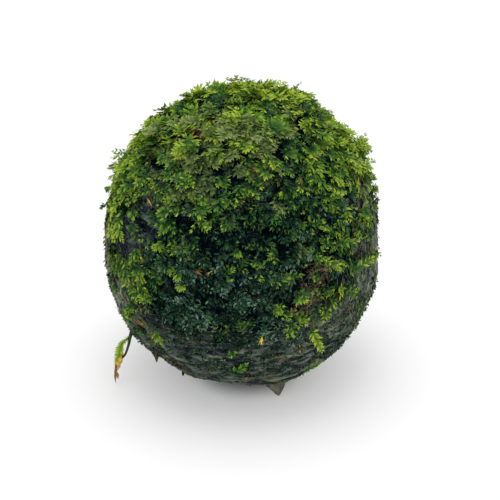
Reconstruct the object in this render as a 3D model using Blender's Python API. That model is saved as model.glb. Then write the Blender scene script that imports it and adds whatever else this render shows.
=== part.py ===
"""Java moss grown over a rounded lump of lava rock, standing on a small flat spot.

Metres, +Z up. The origin is the middle of the flat spot, and the front faces -Y. The moss is one
matted coat with its locks grown on, the stone inside it shows through three gaps, and one long
shoot hangs free at the lower left.
"""

import math

import bmesh
import bpy
import numpy as np
from mathutils import Matrix, Vector

# Driving dimensions of the whole, in metres
MAT_WIDTH = 0.0755
MAT_HEIGHT = 0.0862
UPPER_POWER = 2.2
LOWER_POWER = 2.08
PRESSED_FLAT = 0.0016
MOSS_THICKNESS = 0.0042
FOOT_THICKNESS = 0.0006
NAP_THICKNESS = 0.0004
CLEARANCE = 0.0004
LIFT_OF_COAT = 0.0003
RIPPLE_HEIGHT = 0.0004
RIPPLE_WAVES = (11, 9, 5)
SHARP_EDGE_DEG = 50

# Heights on the round form, from -1 at the foot to 1 at the crown, between which a cover fades
NAP_FADE = (-0.75, -0.25)
FOOT_FADE = (-0.75, -0.97)

# The locks: how many, how long and wide, and how far their tips stand off the mat
LOCK_COUNT = 50
CROWN_LOCKS = 3
LOCK_LENGTH = 0.0165
LOCK_WIDTH = 0.0112
LOCK_DEPTH = 0.0024
LOCK_ROOT_SINK = 0.0008
LOCK_TIP_HEIGHT = 0.0022
LOCK_RISE_POWER = 1.3
LOCK_THINNING = 0.55
LOCK_RIDGE_SHARE = 0.6
LOCK_SIZES = (0.80, 1.15)
LOCK_LIFTS = (0.75, 1.10)
LOCK_TURN_SPREAD = 0.45
LOWEST_LOCK_DEG = 116
LOCK_TEETH = (0.62, 1.0, 0.60, 0.90, 0.46)
LOCK_SEED = 7

# A lock that would cover a gap is tried again: how far it is turned aside, and its share of the size
LOCK_TRIES = ((0.0, 1.0), (0.8, 0.9), (-0.8, 0.9), (0.0, 0.65), (1.6, 0.65), (-1.6, 0.65))

# The matted strands of the lower part: flat, narrow and nearly level
STRAND_COUNT = 7
STRAND_LENGTH = 0.0200
STRAND_WIDTH = 0.0030
STRAND_HEIGHT = 0.0007
STRAND_SIZES = (0.7, 1.1)
STRAND_BAND_DEG = (125, 149)
GOLDEN_SHARE = (math.sqrt(5) - 1) / 2
GOLDEN_TURN = math.pi * (3 - math.sqrt(5))
SMALL_TURN_SPREAD = 0.2

# Locks that break the outline: polar angle, azimuth, length, height of the tip
STANDING_LOCKS = (
    (56, 18, 0.0080, 0.0030),
    (68, 10, 0.0075, 0.0030),
    (79, 4, 0.0065, 0.0024),
    (36, 42, 0.0080, 0.0028),
    (27, 86, 0.0075, 0.0026),
    (29, 122, 0.0080, 0.0028),
    (36, 140, 0.0070, 0.0026),
    (54, 160, 0.0075, 0.0028),
    (62, 167, 0.0080, 0.0030),
    (75, 174, 0.0075, 0.0028),
    (110, -56, 0.0085, 0.0020),
)
STANDING_WIDTH_SHARE = 0.55

# Swellings and hollows of the whole lump: polar angle, azimuth, height, spread in degrees
SWELLINGS = (
    (146, -34, 0.0015, 26),
    (110, -12, 0.0017, 22),
    (120, -165, 0.0016, 24),
    (100, -178, 0.0006, 24),
    (155, -95, -0.0011, 22),
    (40, 20, 0.0010, 30),
    (75, -95, 0.0008, 34),
    (60, 60, 0.0010, 36),
    (105, 110, -0.0008, 32),
)

# Gaps in the coat where a knuckle of stone comes near the surface: polar angle, azimuth
STONE_GAPS = ((60, -81), (67, -139), (101, -96))
KNUCKLE_HEIGHT = 0.0022
KNUCKLE_SPREAD_DEG = 9
GAP_WIDTH = 0.0072
GAP_HEIGHT = 0.0050
GAP_CUT_DEPTH = 0.0080
GAP_FLARE = (0.75, 1.15)
GAP_CORNERS = 9
GAP_MARGIN_SHARE = 0.6
GAP_RAGGEDNESS = 0.22
GAP_SEED = 5

# The stone's own roughness and its gas pits
CRAG_HEIGHT = 0.0009
CRAG_WAVES = (17, 15, 23)
FINE_CRAG_SHARE = 0.6
PIT_COUNT = 17
PIT_RADIUS = 0.0034
PIT_SIZES = (0.70, 1.25)
PIT_LIFT_SHARE = 0.25
PIT_BAND = (0.92, -0.80)
PIT_SEED = 3

# The hanging shoot: where it leaves the mat, and the points of its stem and of its leafy branch
SHOOT_POLAR_DEG = 124.5
SHOOT_AZIMUTH_DEG = -161.3
STEM_POINTS = (
    (-0.0326, -0.0097, 0.0139),
    (-0.0328, -0.0100, 0.0125),
    (-0.0334, -0.0105, 0.0106),
    (-0.0340, -0.0110, 0.0091),
    (-0.0357, -0.0116, 0.0074),
    (-0.0368, -0.0122, 0.0057),
    (-0.0370, -0.0132, 0.0028),
)
STEM_RADIUS = 0.00042
STEM_TIP_SHARE = 0.8
SHOOT_TIP = (-0.0369, -0.0137, 0.0011)
BRANCH_POINTS = (
    (-0.0328, -0.0097, 0.0142),
    (-0.0349, -0.0102, 0.0124),
    (-0.0356, -0.0106, 0.0109),
    (-0.0359, -0.0110, 0.0094),
    (-0.0361, -0.0114, 0.0078),
)
BRANCH_TIP = (-0.0365, -0.0119, 0.0062)
BRANCH_HALF_WIDTH = 0.0012
BRANCH_HALF_DEPTH = 0.0005
BRANCH_RINGS = 15
BRANCH_GAP_SHARE = 0.55
BRANCH_END_SHARE = 0.35
BRANCH_FLATNESS = 0.4

# The wet tag of moss under the front edge, and the short barb left of it
TAG_TOP = (0.0096, -0.0178, 0.0076)
TAG_TIP = (0.0104, -0.0186, 0.0006)
TAG_HALF_WIDTH = 0.0040
TAG_DEPTH_SHARE = 0.5
TAG_RING_WAYS = (0.0, 0.45, 0.8, 0.95)
TAG_TAPER_POWER = 0.7
TAG_BLUNTNESS = 0.05
BARB_TOP = (-0.0164, -0.0134, 0.0104)
BARB_TIP = (-0.0171, -0.0142, 0.0037)
BARB_HALF_WIDTH = 0.0014

HALF_WIDTH = MAT_WIDTH / 2
HALF_HEIGHT = MAT_HEIGHT / 2
CENTRE = np.array((0.0, 0.0, HALF_HEIGHT - PRESSED_FLAT))
DOWN = np.array((0.0, 0.0, -1.0))


def clear_scene():
    """Removes every object, so that the model starts from nothing."""
    for obj in list(bpy.data.objects):
        bpy.data.objects.remove(obj, do_unlink=True)


def finish(name, colour, roughness):
    """A plain surface finish with one colour and one roughness."""
    material = bpy.data.materials.new(name)
    material.use_nodes = True
    shader = material.node_tree.nodes["Principled BSDF"]
    shader.inputs["Base Color"].default_value = (*colour, 1.0)
    shader.inputs["Roughness"].default_value = roughness
    shader.inputs["Metallic"].default_value = 0.0
    return material


def heading(polar, azimuth):
    """The unit direction at a polar angle from +Z and an azimuth from +X, both in degrees."""
    polar, azimuth = np.radians(polar), np.radians(azimuth)
    flat = np.sin(polar)
    return np.stack([flat * np.cos(azimuth), flat * np.sin(azimuth), np.cos(polar)], axis=-1)


def unit(vectors):
    """The same directions at length one."""
    return vectors / np.linalg.norm(vectors, axis=-1, keepdims=True)


def mound(directions, centre, spread_deg):
    """A round mound: one at its centre, fading with the square of the angle from it."""
    cosine = np.clip(directions @ centre, -1.0, 1.0)
    return np.exp(-((np.degrees(np.arccos(cosine)) / spread_deg) ** 2))


def faded(height, fade):
    """Zero at the first height of a fade and beyond it, one at the second, and even between them."""
    start, end = fade
    return np.clip((height - start) / (end - start), 0.0, 1.0)


def mat_distance(directions):
    """How far the matted surface is from the middle: an egg-round form with its swellings.

    Powers a little over two make the upper and the lower half squarer than an egg's.
    """
    flat = np.hypot(directions[..., 0], directions[..., 1]) / HALF_WIDTH
    tall = np.abs(directions[..., 2]) / HALF_HEIGHT
    power = np.where(directions[..., 2] > 0, UPPER_POWER, LOWER_POWER)
    distance = (flat**power + tall**power) ** (-1.0 / power)
    for polar, azimuth, height, spread in SWELLINGS:
        distance = distance + height * mound(directions, heading(polar, azimuth), spread)
    x, y, z = np.moveaxis(directions, -1, 0)
    ripple = np.sin(RIPPLE_WAVES[0] * x + 2) * np.sin(RIPPLE_WAVES[1] * y + RIPPLE_WAVES[2] * z)
    return distance + RIPPLE_HEIGHT * ripple


def coat_distance(directions):
    """The outside of the coat: the mat with its nap, which thins out towards the bottom."""
    return mat_distance(directions) + NAP_THICKNESS * faded(directions[..., 2], NAP_FADE)


def stone_distance(directions):
    """The stone under the mat, thinly covered at the foot and knuckled under each gap."""
    near_foot = faded(directions[..., 2], FOOT_FADE)
    cover = MOSS_THICKNESS + (FOOT_THICKNESS - MOSS_THICKNESS) * near_foot
    distance = mat_distance(directions) - cover
    for polar, azimuth in STONE_GAPS:
        distance = distance + KNUCKLE_HEIGHT * mound(directions, heading(polar, azimuth), KNUCKLE_SPREAD_DEG)
    x, y, z = np.moveaxis(directions, -1, 0)
    crags = np.sin(CRAG_WAVES[0] * x + 4 * z) * np.sin(CRAG_WAVES[1] * y + 1)
    crags = crags + FINE_CRAG_SHARE * np.sin(CRAG_WAVES[2] * z + 9 * x)
    return distance + CRAG_HEIGHT * crags * (1 - near_foot)


def round_form(detail, distance, extra=0.0):
    """A ball of triangles whose points are moved out to a distance for each direction."""
    mesh = bmesh.new()
    bmesh.ops.create_icosphere(mesh, subdivisions=detail, radius=1.0)
    directions = np.array([vertex.co for vertex in mesh.verts])
    places = CENTRE + directions * (distance(directions) + extra)[:, None]
    for vertex, place in zip(mesh.verts, places):
        vertex.co = place
    return mesh


def cut_level(mesh, height):
    """Cuts a closed form off flat at a height and closes the cut."""
    geometry = mesh.verts[:] + mesh.edges[:] + mesh.faces[:]
    level = Vector((0, 0, height))
    cut = bmesh.ops.bisect_plane(mesh, geom=geometry, plane_co=level, plane_no=(0, 0, -1), clear_outer=True)
    edges = [item for item in cut["geom_cut"] if isinstance(item, bmesh.types.BMEdge)]
    bmesh.ops.contextual_create(mesh, geom=edges)


def object_from(mesh, name, material=None):
    """Turns a bmesh into an object of triangles with its faces pointing out."""
    bmesh.ops.triangulate(mesh, faces=mesh.faces[:])
    bmesh.ops.recalc_face_normals(mesh, faces=mesh.faces[:])
    data = bpy.data.meshes.new(name)
    mesh.to_mesh(data)
    mesh.free()
    data.shade_smooth()
    data.set_sharp_from_angle(angle=math.radians(SHARP_EDGE_DEG))
    if material:
        data.materials.append(material)
    obj = bpy.data.objects.new(name, data)
    bpy.context.scene.collection.objects.link(obj)
    return obj


def helper_from(mesh, name):
    """An object that only cuts or is joined to another, and isn't a piece itself."""
    obj = object_from(mesh, name)
    obj.hide_render = True
    obj.display_type = "WIRE"
    return obj


def combine(obj, other, operation):
    """Joins another closed form to an object, or cuts it away."""
    modifier = obj.modifiers.new(other.name, "BOOLEAN")
    modifier.operation = operation
    modifier.object = other
    modifier.solver = "EXACT"
    modifier.use_self = True


def loft(mesh, rings, tip):
    """Adds a closed form: rings of points joined in order, flat at the first and pointed at the tip."""
    rows = [[mesh.verts.new(point) for point in ring] for ring in rings]
    count = len(rows[0])
    mesh.faces.new(rows[0])
    for lower, upper in zip(rows, rows[1:]):
        for i in range(count):
            j = (i + 1) % count
            mesh.faces.new((lower[i], lower[j], upper[j], upper[i]))
    end = mesh.verts.new(tip)
    for i in range(count):
        mesh.faces.new((rows[-1][i], rows[-1][(i + 1) % count], end))


def lock_rings(direction, turn, length, width, tip_height):
    """One lock of moss: a flat, toothed, pointed form that lies down the slope and lifts at its tip.

    Its middle line runs from a root sunk in the mat, and its height grows with the way to the tip.
    """
    outward = unit(direction)
    downhill = unit(DOWN - outward * (DOWN @ outward) + np.array((1e-6, 0, 0)))
    sideways = np.cross(outward, downhill)
    along = downhill * math.cos(turn) + sideways * math.sin(turn)
    across = np.cross(outward, along)
    root = CENTRE + outward * mat_distance(outward)
    ways = np.linspace(0.0, 1.0, len(LOCK_TEETH) + 1)
    headings = unit(root + np.outer(ways, along) * length - CENTRE)
    heights = (tip_height + LOCK_ROOT_SINK) * ways**LOCK_RISE_POWER - LOCK_ROOT_SINK
    middle = CENTRE + headings * (mat_distance(headings) + heights)[:, None]
    rings = []
    for point, out, way, tooth in zip(middle, headings, ways, LOCK_TEETH):
        half = 0.5 * width * tooth
        ridge = LOCK_RIDGE_SHARE * LOCK_DEPTH * (1.0 - LOCK_THINNING * way)
        rings.append((point - across * half, point + across * half, point + out * ridge))
    return rings, middle[-1]


def lock_places():
    """Roots, turns and sizes of the locks: a spiral down the lump, so that they cover it evenly.

    The first few lie up over the crown, and the rest lie down from it.
    """
    draw = np.random.default_rng(LOCK_SEED)
    lowest = math.cos(math.radians(LOWEST_LOCK_DEG))
    for i in range(LOCK_COUNT):
        height = 1 - (1 - lowest) * (i + 0.5) / LOCK_COUNT
        polar = math.degrees(math.acos(height)) + draw.normal(0, 1.5)
        azimuth = math.degrees(GOLDEN_TURN * i) + draw.normal(0, 3)
        turn = draw.normal(0, LOCK_TURN_SPREAD) + (math.pi if i < CROWN_LOCKS else 0.0)
        size = draw.uniform(*LOCK_SIZES)
        lift = LOCK_TIP_HEIGHT * draw.uniform(*LOCK_LIFTS)
        yield polar, azimuth, turn, LOCK_LENGTH * size, LOCK_WIDTH * size, lift
    for polar, azimuth, length, lift in STANDING_LOCKS:
        turn = draw.normal(0, SMALL_TURN_SPREAD)
        yield polar, azimuth, turn, length, STANDING_WIDTH_SHARE * length, lift
    highest, lowest = STRAND_BAND_DEG
    for i in range(STRAND_COUNT):
        level = math.radians(90) if i % 2 else math.radians(-90)
        polar = highest + (lowest - highest) * (i * GOLDEN_SHARE % 1)
        azimuth = math.degrees(GOLDEN_TURN * i)
        length = STRAND_LENGTH * draw.uniform(*STRAND_SIZES)
        turn = level + draw.normal(0, SMALL_TURN_SPREAD)
        yield polar, azimuth, turn, length, STRAND_WIDTH, STRAND_HEIGHT


def leaves_open(rings):
    """Whether a lock keeps off the gaps over the stone and off the root of the hanging shoot."""
    headings = unit(np.array(rings).reshape(-1, 3) - CENTRE)
    kept_open = (*STONE_GAPS, (SHOOT_POLAR_DEG, SHOOT_AZIMUTH_DEG))
    nearest = max((headings @ heading(polar, azimuth)).max() for polar, azimuth in kept_open)
    return nearest < math.cos(GAP_MARGIN_SHARE * GAP_WIDTH / HALF_WIDTH)


def add_tag(mesh, top, tip, half_width, half_depth):
    """A flap of wet moss that narrows from the mat to a blunt tip, in four-sided rings."""
    top, tip = np.array(top), np.array(tip)
    side, fore = np.array((half_width, 0, 0)), np.array((0, half_depth, 0))
    rings = []
    for way in TAG_RING_WAYS:
        size = (1 - way) ** TAG_TAPER_POWER + TAG_BLUNTNESS
        point = top + (tip - top) * way
        rings.append((point - side * size, point - fore * size, point + side * size, point + fore * size))
    loft(mesh, rings, tip)


def swept_rings(points, across_sizes, depth_sizes, sides):
    """Rings of a round or flattened stem along points, each square to the way there."""
    points = np.array(points)
    ways = unit(np.gradient(points, axis=0))
    angles = np.arange(sides) * 2 * math.pi / sides
    rings = []
    for point, way, across, deep in zip(points, ways, across_sizes, depth_sizes):
        side = unit(np.cross(way, (0.0, 1.0, 0.0)))
        fore = np.cross(side, way)
        ring = point + np.outer(np.cos(angles) * across, side) + np.outer(np.sin(angles) * deep, fore)
        rings.append(ring)
    return rings


def toothed(points, steps):
    """Points and widths along a leafy branch: the width swings between leaf tips and the gaps between."""
    points = np.array(points)
    ways = np.linspace(0, 1, steps)
    spots = np.linspace(0, 1, len(points))
    path = np.stack([np.interp(ways, spots, points[:, axis]) for axis in range(3)], axis=1)
    swing = np.where(np.arange(steps) % 2 == 1, 1.0, BRANCH_GAP_SHARE)
    swell = np.sin(math.pi * np.clip(ways + 0.1, 0, 1))
    return path, swing * (BRANCH_END_SHARE + (1 - BRANCH_END_SHARE) * swell)


def make_stone():
    """The stone: a rounded lump with gas pits, cut flat where it stands."""
    mesh = round_form(4, stone_distance)
    cut_level(mesh, 0.0)
    stone = object_from(mesh, "lava_rock", finish("lava_stone", (0.025, 0.027, 0.032), 0.55))
    draw = np.random.default_rng(PIT_SEED)
    pits = bmesh.new()
    highest, lowest = PIT_BAND
    for i in range(PIT_COUNT):
        height = highest + (lowest - highest) * (i + 0.5) / PIT_COUNT
        azimuth = math.degrees(GOLDEN_TURN * i) + draw.normal(0, 6)
        direction = heading(math.degrees(math.acos(height)), azimuth)
        radius = PIT_RADIUS * draw.uniform(*PIT_SIZES)
        place = Vector(CENTRE + direction * (stone_distance(direction) + PIT_LIFT_SHARE * radius))
        bmesh.ops.create_icosphere(pits, subdivisions=1, radius=radius, matrix=Matrix.Translation(place))
    combine(stone, helper_from(pits, "stone_pits"), "DIFFERENCE")
    return stone


def make_coat():
    """The coat: matted moss with its locks and hanging tags, hollow over the stone and open below."""
    mesh = round_form(4, coat_distance)
    cut_level(mesh, LIFT_OF_COAT)
    coat = object_from(mesh, "moss_coat", finish("java_moss", (0.070, 0.150, 0.012), 0.6))

    locks = bmesh.new()
    for polar, azimuth, turn, length, width, lift in lock_places():
        for aside, share in LOCK_TRIES:
            root = heading(polar, azimuth)
            rings, tip = lock_rings(root, turn + aside, length * share, width * share, lift)
            if leaves_open(rings):
                loft(locks, rings, tip)
                break
    add_tag(locks, TAG_TOP, TAG_TIP, TAG_HALF_WIDTH, TAG_DEPTH_SHARE * TAG_HALF_WIDTH)
    add_tag(locks, BARB_TOP, BARB_TIP, BARB_HALF_WIDTH, BARB_HALF_WIDTH)
    combine(coat, helper_from(locks, "locks"), "UNION")

    hollow = round_form(4, stone_distance, CLEARANCE)
    combine(coat, helper_from(hollow, "stone_hollow"), "DIFFERENCE")

    gaps = bmesh.new()
    draw = np.random.default_rng(GAP_SEED)
    for polar, azimuth in STONE_GAPS:
        outward = Vector(heading(polar, azimuth))
        turn = outward.to_track_quat("Z", "Y").to_matrix().to_4x4()
        place = Vector(CENTRE) + outward * HALF_WIDTH
        shape = Matrix.Diagonal((GAP_WIDTH / 2, GAP_HEIGHT / 2, GAP_CUT_DEPTH, 1.0))
        matrix = Matrix.Translation(place) @ turn @ shape
        inner, outer = GAP_FLARE
        made = bmesh.ops.create_cone(
            gaps, cap_ends=True, segments=GAP_CORNERS, radius1=inner, radius2=outer, depth=1.0, matrix=matrix
        )
        for vertex in made["verts"]:
            spread = 1 + draw.uniform(-GAP_RAGGEDNESS, GAP_RAGGEDNESS)
            aside = vertex.co - place
            along = outward * aside.dot(outward)
            vertex.co = place + along + (aside - along) * spread
    combine(coat, helper_from(gaps, "gap_cutter"), "DIFFERENCE")
    return coat


def make_shoot():
    """The hanging shoot: a bare stem, a toothed leafy branch beside it and one withered tip."""
    mesh = bmesh.new()
    leaving = heading(SHOOT_POLAR_DEG, SHOOT_AZIMUTH_DEG)
    root = CENTRE + leaving * (coat_distance(leaving) + CLEARANCE + STEM_RADIUS)
    points = (tuple(root), *STEM_POINTS)
    thin = np.linspace(1.0, STEM_TIP_SHARE, len(points)) * STEM_RADIUS
    loft(mesh, swept_rings(points, thin, thin, 6), SHOOT_TIP)
    shoot = object_from(mesh, "hanging_sprig", finish("young_shoot", (0.240, 0.340, 0.020), 0.5))
    branch = bmesh.new()
    path, swing = toothed(BRANCH_POINTS, BRANCH_RINGS)
    depths = (BRANCH_FLATNESS + (1 - BRANCH_FLATNESS) * swing) * BRANCH_HALF_DEPTH
    rings = swept_rings(path, swing * BRANCH_HALF_WIDTH, depths, 4)
    loft(branch, rings, BRANCH_TIP)
    combine(shoot, helper_from(branch, "leafy_branch"), "UNION")
    return shoot


def main():
    clear_scene()
    make_stone()
    make_coat()
    make_shoot()


main()
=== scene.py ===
"""Java moss on lava rock: a round lump of dark pitted stone under a shaggy, wet coat of moss.

The stone, the matted coat, its strands and fronds and the one hanging shoot are each worked out as numpy
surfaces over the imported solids, and stand on a pale studio floor.
"""

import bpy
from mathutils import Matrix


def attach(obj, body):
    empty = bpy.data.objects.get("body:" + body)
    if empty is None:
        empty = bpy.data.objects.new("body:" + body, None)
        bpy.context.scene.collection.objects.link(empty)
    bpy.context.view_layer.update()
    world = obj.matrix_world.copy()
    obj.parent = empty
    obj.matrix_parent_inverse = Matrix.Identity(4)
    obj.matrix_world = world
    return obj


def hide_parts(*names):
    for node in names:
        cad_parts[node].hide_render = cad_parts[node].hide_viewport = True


bl_info = {
    "name": "Java moss on lava rock",
    "version": (1, 0, 0),
    "blender": (4, 5, 0),
    "location": "3D View > Sidebar > Moss",
    "description": "Builds the mossy stone piece by piece, and a pale studio round it",
    "category": "Object",
}

import math

import bpy
import numpy as np
from mathutils import Matrix, Vector

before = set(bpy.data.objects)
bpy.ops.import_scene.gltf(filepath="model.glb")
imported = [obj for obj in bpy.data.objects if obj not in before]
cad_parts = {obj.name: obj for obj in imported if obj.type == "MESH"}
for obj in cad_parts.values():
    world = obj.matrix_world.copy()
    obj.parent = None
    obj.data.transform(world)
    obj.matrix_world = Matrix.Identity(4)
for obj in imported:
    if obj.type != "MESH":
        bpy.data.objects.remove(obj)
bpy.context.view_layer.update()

# The lump, in metres, as the solids have it
MAT_WIDTH = 0.0755
MAT_HEIGHT = 0.0862
UPPER_POWER = 2.2
LOWER_POWER = 2.08
PRESSED_FLAT = 0.0016
MOSS_THICKNESS = 0.0042
FOOT_THICKNESS = 0.0006
LIFT_OF_COAT = 0.0003
HALF_WIDTH = MAT_WIDTH / 2
HALF_HEIGHT = MAT_HEIGHT / 2
CENTRE = np.array((0.0, 0.0, HALF_HEIGHT - PRESSED_FLAT))
DOWN = np.array((0.0, 0.0, -1.0))
TOWARD_FRONT = (0.0, -1.0, 0.0)
GOLDEN_TURN = math.pi * (3 - math.sqrt(5))

# Rows of the table of colours
FRESH, OLIVE, BROWN, TEAL = 0.0, 1.0, 2.0, 3.0
COLOUR_ROWS = 4

# Grids of the closed surfaces: rings between the poles, and columns round
STONE_GRID = (80, 160)
MAT_GRID = (200, 400)
FLAP_GRID = (16, 20)

# Seeds of the random draws
STRAND_SEED = 61
FROND_SEED = 71
TUFT_SEED = 81
SHOOT_SEED = 101

# Swellings and hollows of the whole lump: polar angle, azimuth, height, spread in degrees
SWELLINGS = (
    (146, -34, 0.0015, 26), (110, -12, 0.0017, 22), (120, -165, 0.0016, 24), (100, -178, 0.0006, 24),
    (155, -95, -0.0011, 22), (40, 20, 0.001, 30), (75, -95, 0.0008, 34), (60, 60, 0.001, 36),
    (105, 110, -0.0008, 32),
)

# Where the leafy cover is thinner or thicker: polar angle, azimuth, metres, spread in degrees
COVER_PLACES = (
    (38, 145, -0.002, 20), (44, 30, -0.0024, 19), (74, 176, 0.001, 12),
)

# Dark hollows between the fronds: polar angle, azimuth, depth as a share, spread in degrees
HOLLOWS = (
    (52.3, -138.1, 0.95, 1.7), (54.1, -126.2, 0.95, 1.7), (41.9, -115.2, 0.95, 1.7),
    (46.6, -102, 0.95, 1.7), (44.8, -90.4, 0.95, 1.7), (59, -114.4, 0.95, 2.1), (17.1, -51.7, 0.4, 1.7),
    (20.8, -37.9, 0.45, 1.7), (30.9, -63.3, 0.55, 1.7), (38.3, -29.5, 0.5, 1.7), (34.9, -80.7, 0.7, 1.7),
    (45.2, -64, 0.6, 1.9), (46.7, -77.9, 0.95, 1.7), (54.3, -37.1, 0.95, 2.1), (60.7, -52.2, 0.95, 2.5),
    (57.3, -66.9, 0.95, 2.1), (60.5, -86.2, 0.95, 2.9), (59, -90.3, 0.95, 2.1), (70.7, -38.8, 0.95, 2.1),
    (75.8, -46.7, 0.95, 2.1), (80.3, -63.5, 0.95, 1.7), (90.3, -50.8, 0.95, 1.7), (92.8, -67.8, 0.95, 2.1),
    (99.7, -43.2, 0.95, 1.7), (98.1, -127.5, 0.95, 2.1), (70.7, -119.9, 0.95, 1.7),
    (67.3, -130.6, 0.95, 2.5), (67.3, -124.1, 0.95, 2.1), (68, -99.1, 0.95, 2.1), (60.7, -105.2, 0.95, 1.7),
    (77.5, -95, 0.95, 1.7), (75.8, -75.6, 0.95, 1.7), (106.7, -111, 0.95, 2.5), (101, -90.4, 0.95, 2.1),
    (102.2, -77.6, 0.95, 1.7), (91.7, -104.2, 0.95, 1.7), (79.5, -114.9, 0.95, 1.3), (40, 60, 0.9, 3),
    (60, 110, 0.9, 3), (75, 80, 0.9, 3), (95, 130, 0.9, 3), (85, 50, 0.9, 3),
)
HOLLOW_DEPTH = 0.0012

# Gaps in the coat over a knuckle of stone: polar angle, azimuth
STONE_GAPS = ((60, -81), (67, -139), (101, -96))
KNUCKLE_HEIGHT = 0.0022
KNUCKLE_SPREAD_DEG = 9
CRAG_HEIGHT = 0.0009
GAP_HALF_WIDTH_DEG = 5.2
GAP_HALF_HEIGHT_DEG = 3.6
GAP_DEPTH = 0.0032

# Places where the coat is bare matted strands: polar angle, azimuth, strength, spread in degrees
MATTED_PLACES = (
    (66, -8, 0.98, 13), (76, -12, 0.98, 17), (88, -14, 0.98, 20), (100, -18, 0.98, 20),
    (112, -30, 0.85, 15), (88, 12, 0.9, 15), (110, -162, 0.92, 17), (92, -170, 0.9, 14),
    (80, -172, 0.92, 12), (84, -57, 0.7, 4), (94, -62, 0.7, 4), (108, -45, 0.6, 14), (67, -137, 0.95, 13),
    (78, -146, 0.75, 11), (52, -139, 0.6, 7), (64, -92, 0.3, 9), (110, 6, 0.92, 20), (96, 70, 0.7, 20),
    (84, 150, 0.6, 18),
)

# Pale and dark places of the bare mat, the pale ones on the left and right rims partly a painted sheen
# of the wet strands: polar angle, azimuth, strength, spread in degrees
PALE_AND_SHEEN_PLACES = (
    (76, -6, 0.7, 19), (102, -10, 0.7, 18), (112, -166, 1.2, 16), (98, -171, 1.3, 14), (84, 177, 1, 14),
    (68, -138, -0.8, 12), (79, -146, -0.4, 10), (106, -48, 0.4, 15), (98, 70, 0.4, 20),
)

# Places where the bare strands have gone brown: polar angle, azimuth, share, spread in degrees
BROWN_PLACES = (
    (144, -128, 1, 9), (132, -148, 0.7, 7), (150, -74, 0.6, 7), (128, -44, 0.6, 7),
)

# Places where the strands lie level, and where they hang down the slope: polar angle, azimuth, share,
# spread in degrees
LEVEL_PLACES = ((67, -139, 1, 16),)
HANGING_PLACES = ((112, -20, 1, 17), (94, -8, 1, 18))

# Brown, fuzzy places of fine dead strands: polar angle, azimuth, spread in degrees
FUZZY_PLACES = ((83, -57, 1.9), (93, -62, 1.9), (110, 40, 2.5), (95, 160, 2.5))
FUZZ_STRANDS = 190
FUZZ_STRIDE = 0.00034
FUZZ_RADIUS = 0.00009
FUZZ_LIFT = 0.0020

# Lighter and darker places of the moss, partly painted light: the broad bright place on the crown stands
# for the light from above. Each is polar angle, azimuth, change of tone, spread in degrees
TONE_AND_LIGHT_PLACES = (
    (22, 90, 0.58, 32), (40, 172, 0.22, 22), (40, 8, 0.22, 22), (62, -172, 0.16, 20), (28, -112, 0.05, 13),
    (98, -57, 0.14, 13), (112, -95, 0.19, 22), (88, -145, 0.18, 13), (104, -150, 0.14, 13),
    (48, -32, 0.1, 14), (62, 0, 0.14, 22), (56, -28, 0.1, 14), (80, -30, 0.08, 12), (52, -100, 0.04, 10),
    (64, -92, -0.12, 13), (66, -132, -0.12, 14), (90, -100, -0.1, 26), (44, -62, -0.05, 12),
    (60, 90, 0.1, 40), (105, -119, -0.1, 10), (75, -86, -0.1, 9), (24, -137, 0.14, 8), (19, -110, 0.08, 8),
    (32, 35, 0.06, 8), (100, -96, 0.06, 8), (101, -75, 0.06, 9), (59, -59, -0.05, 8), (82, -148, 0.1, 11),
    (79, -132, 0.09, 10), (96, -107, 0.07, 9), (100, -96, 0.1, 9), (102, -75, 0.1, 10), (28, 135, 0.22, 10),
    (28, 22, 0.1, 9), (39, 21, 0.06, 8), (78, -69, 0.07, 8), (91, -118, 0.08, 8), (22, -46, 0.08, 8),
    (52, 165, 0.12, 11), (24, -137, 0.08, 9), (20, -109, 0.1, 9), (26, 3, 0.1, 10), (42, 23, 0.06, 9),
    (30, 41, 0.08, 10), (47, -16, -0.12, 9), (54, -147, 0.1, 9), (45, -158, -0.05, 8),
    (76, -106, -0.12, 11), (69, -121, -0.08, 9), (65, -91, -0.1, 12), (79, -63, 0.08, 9),
    (90, -64, 0.08, 9), (88, -147, 0.12, 9), (102, -149, 0.12, 10), (90, -107, 0.07, 9),
    (103, -119, -0.08, 9), (102, -102, 0.08, 10), (101, -75, 0.16, 11), (51, -85, -0.06, 9),
    (60, -92, -0.12, 8), (44, -52, -0.06, 8), (46, -70, -0.04, 7), (15, -166, -0.08, 8), (32, 143, 0.1, 9),
    (26, 43, 0.08, 8), (41, 155, 0.08, 8), (42, -170, 0.12, 8), (17, -147, -0.18, 9), (24, 176, -0.12, 8),
    (24, -97, 0.12, 7), (34, -117, 0.07, 6), (40, -105, 0.08, 5), (47, -58, -0.1, 6), (64, -48, -0.12, 6),
    (55, -29, -0.2, 6), (58, -86, -0.1, 6), (79, -117, 0.08, 8), (84, -74, -0.09, 7), (106, -106, -0.1, 6),
    (91, -93, 0.07, 7), (98, -136, 0.1, 8), (52, -78, 0.18, 6), (24, 5, 0.06, 6), (17, -135, -0.2, 8),
    (10, -100, -0.16, 8), (10, -66, -0.07, 7), (40, -167, 0.1, 7), (26, -94, 0.14, 7), (42, -124, -0.08, 6),
    (55, -109, -0.1, 6), (40, -105, 0.08, 6), (52, 15, 0.1, 6),
)

# Places where the fronds have gone greyish olive: polar angle, azimuth, share, spread in degrees
OLIVE_PLACES = (
    (28, -112, 0.5, 12), (24, -84, 0.3, 12), (30, -66, 0.26, 12), (98, -57, 0.4, 12), (40, -110, 0.4, 12),
    (44, -142, 0.25, 12), (42, -80, 0.12, 12), (67, -139, 0.6, 12), (70, -172, 0.45, 14),
    (92, -172, 0.6, 13), (60, -18, 0.3, 10), (30, 40, 0.4, 14), (35, 150, 0.15, 14),
)

# Places where the fronds are blue-green: polar angle, azimuth, share, spread in degrees
TEAL_PLACES = (
    (84, -98, 0.8, 24), (100, -112, 0.55, 20), (98, -76, 0.5, 20), (112, -95, 0.9, 26), (62, -82, 0.35, 12),
    (104, -130, 0.45, 18), (56, -50, 0.22, 16), (112, 90, 0.7, 50),
)

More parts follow.
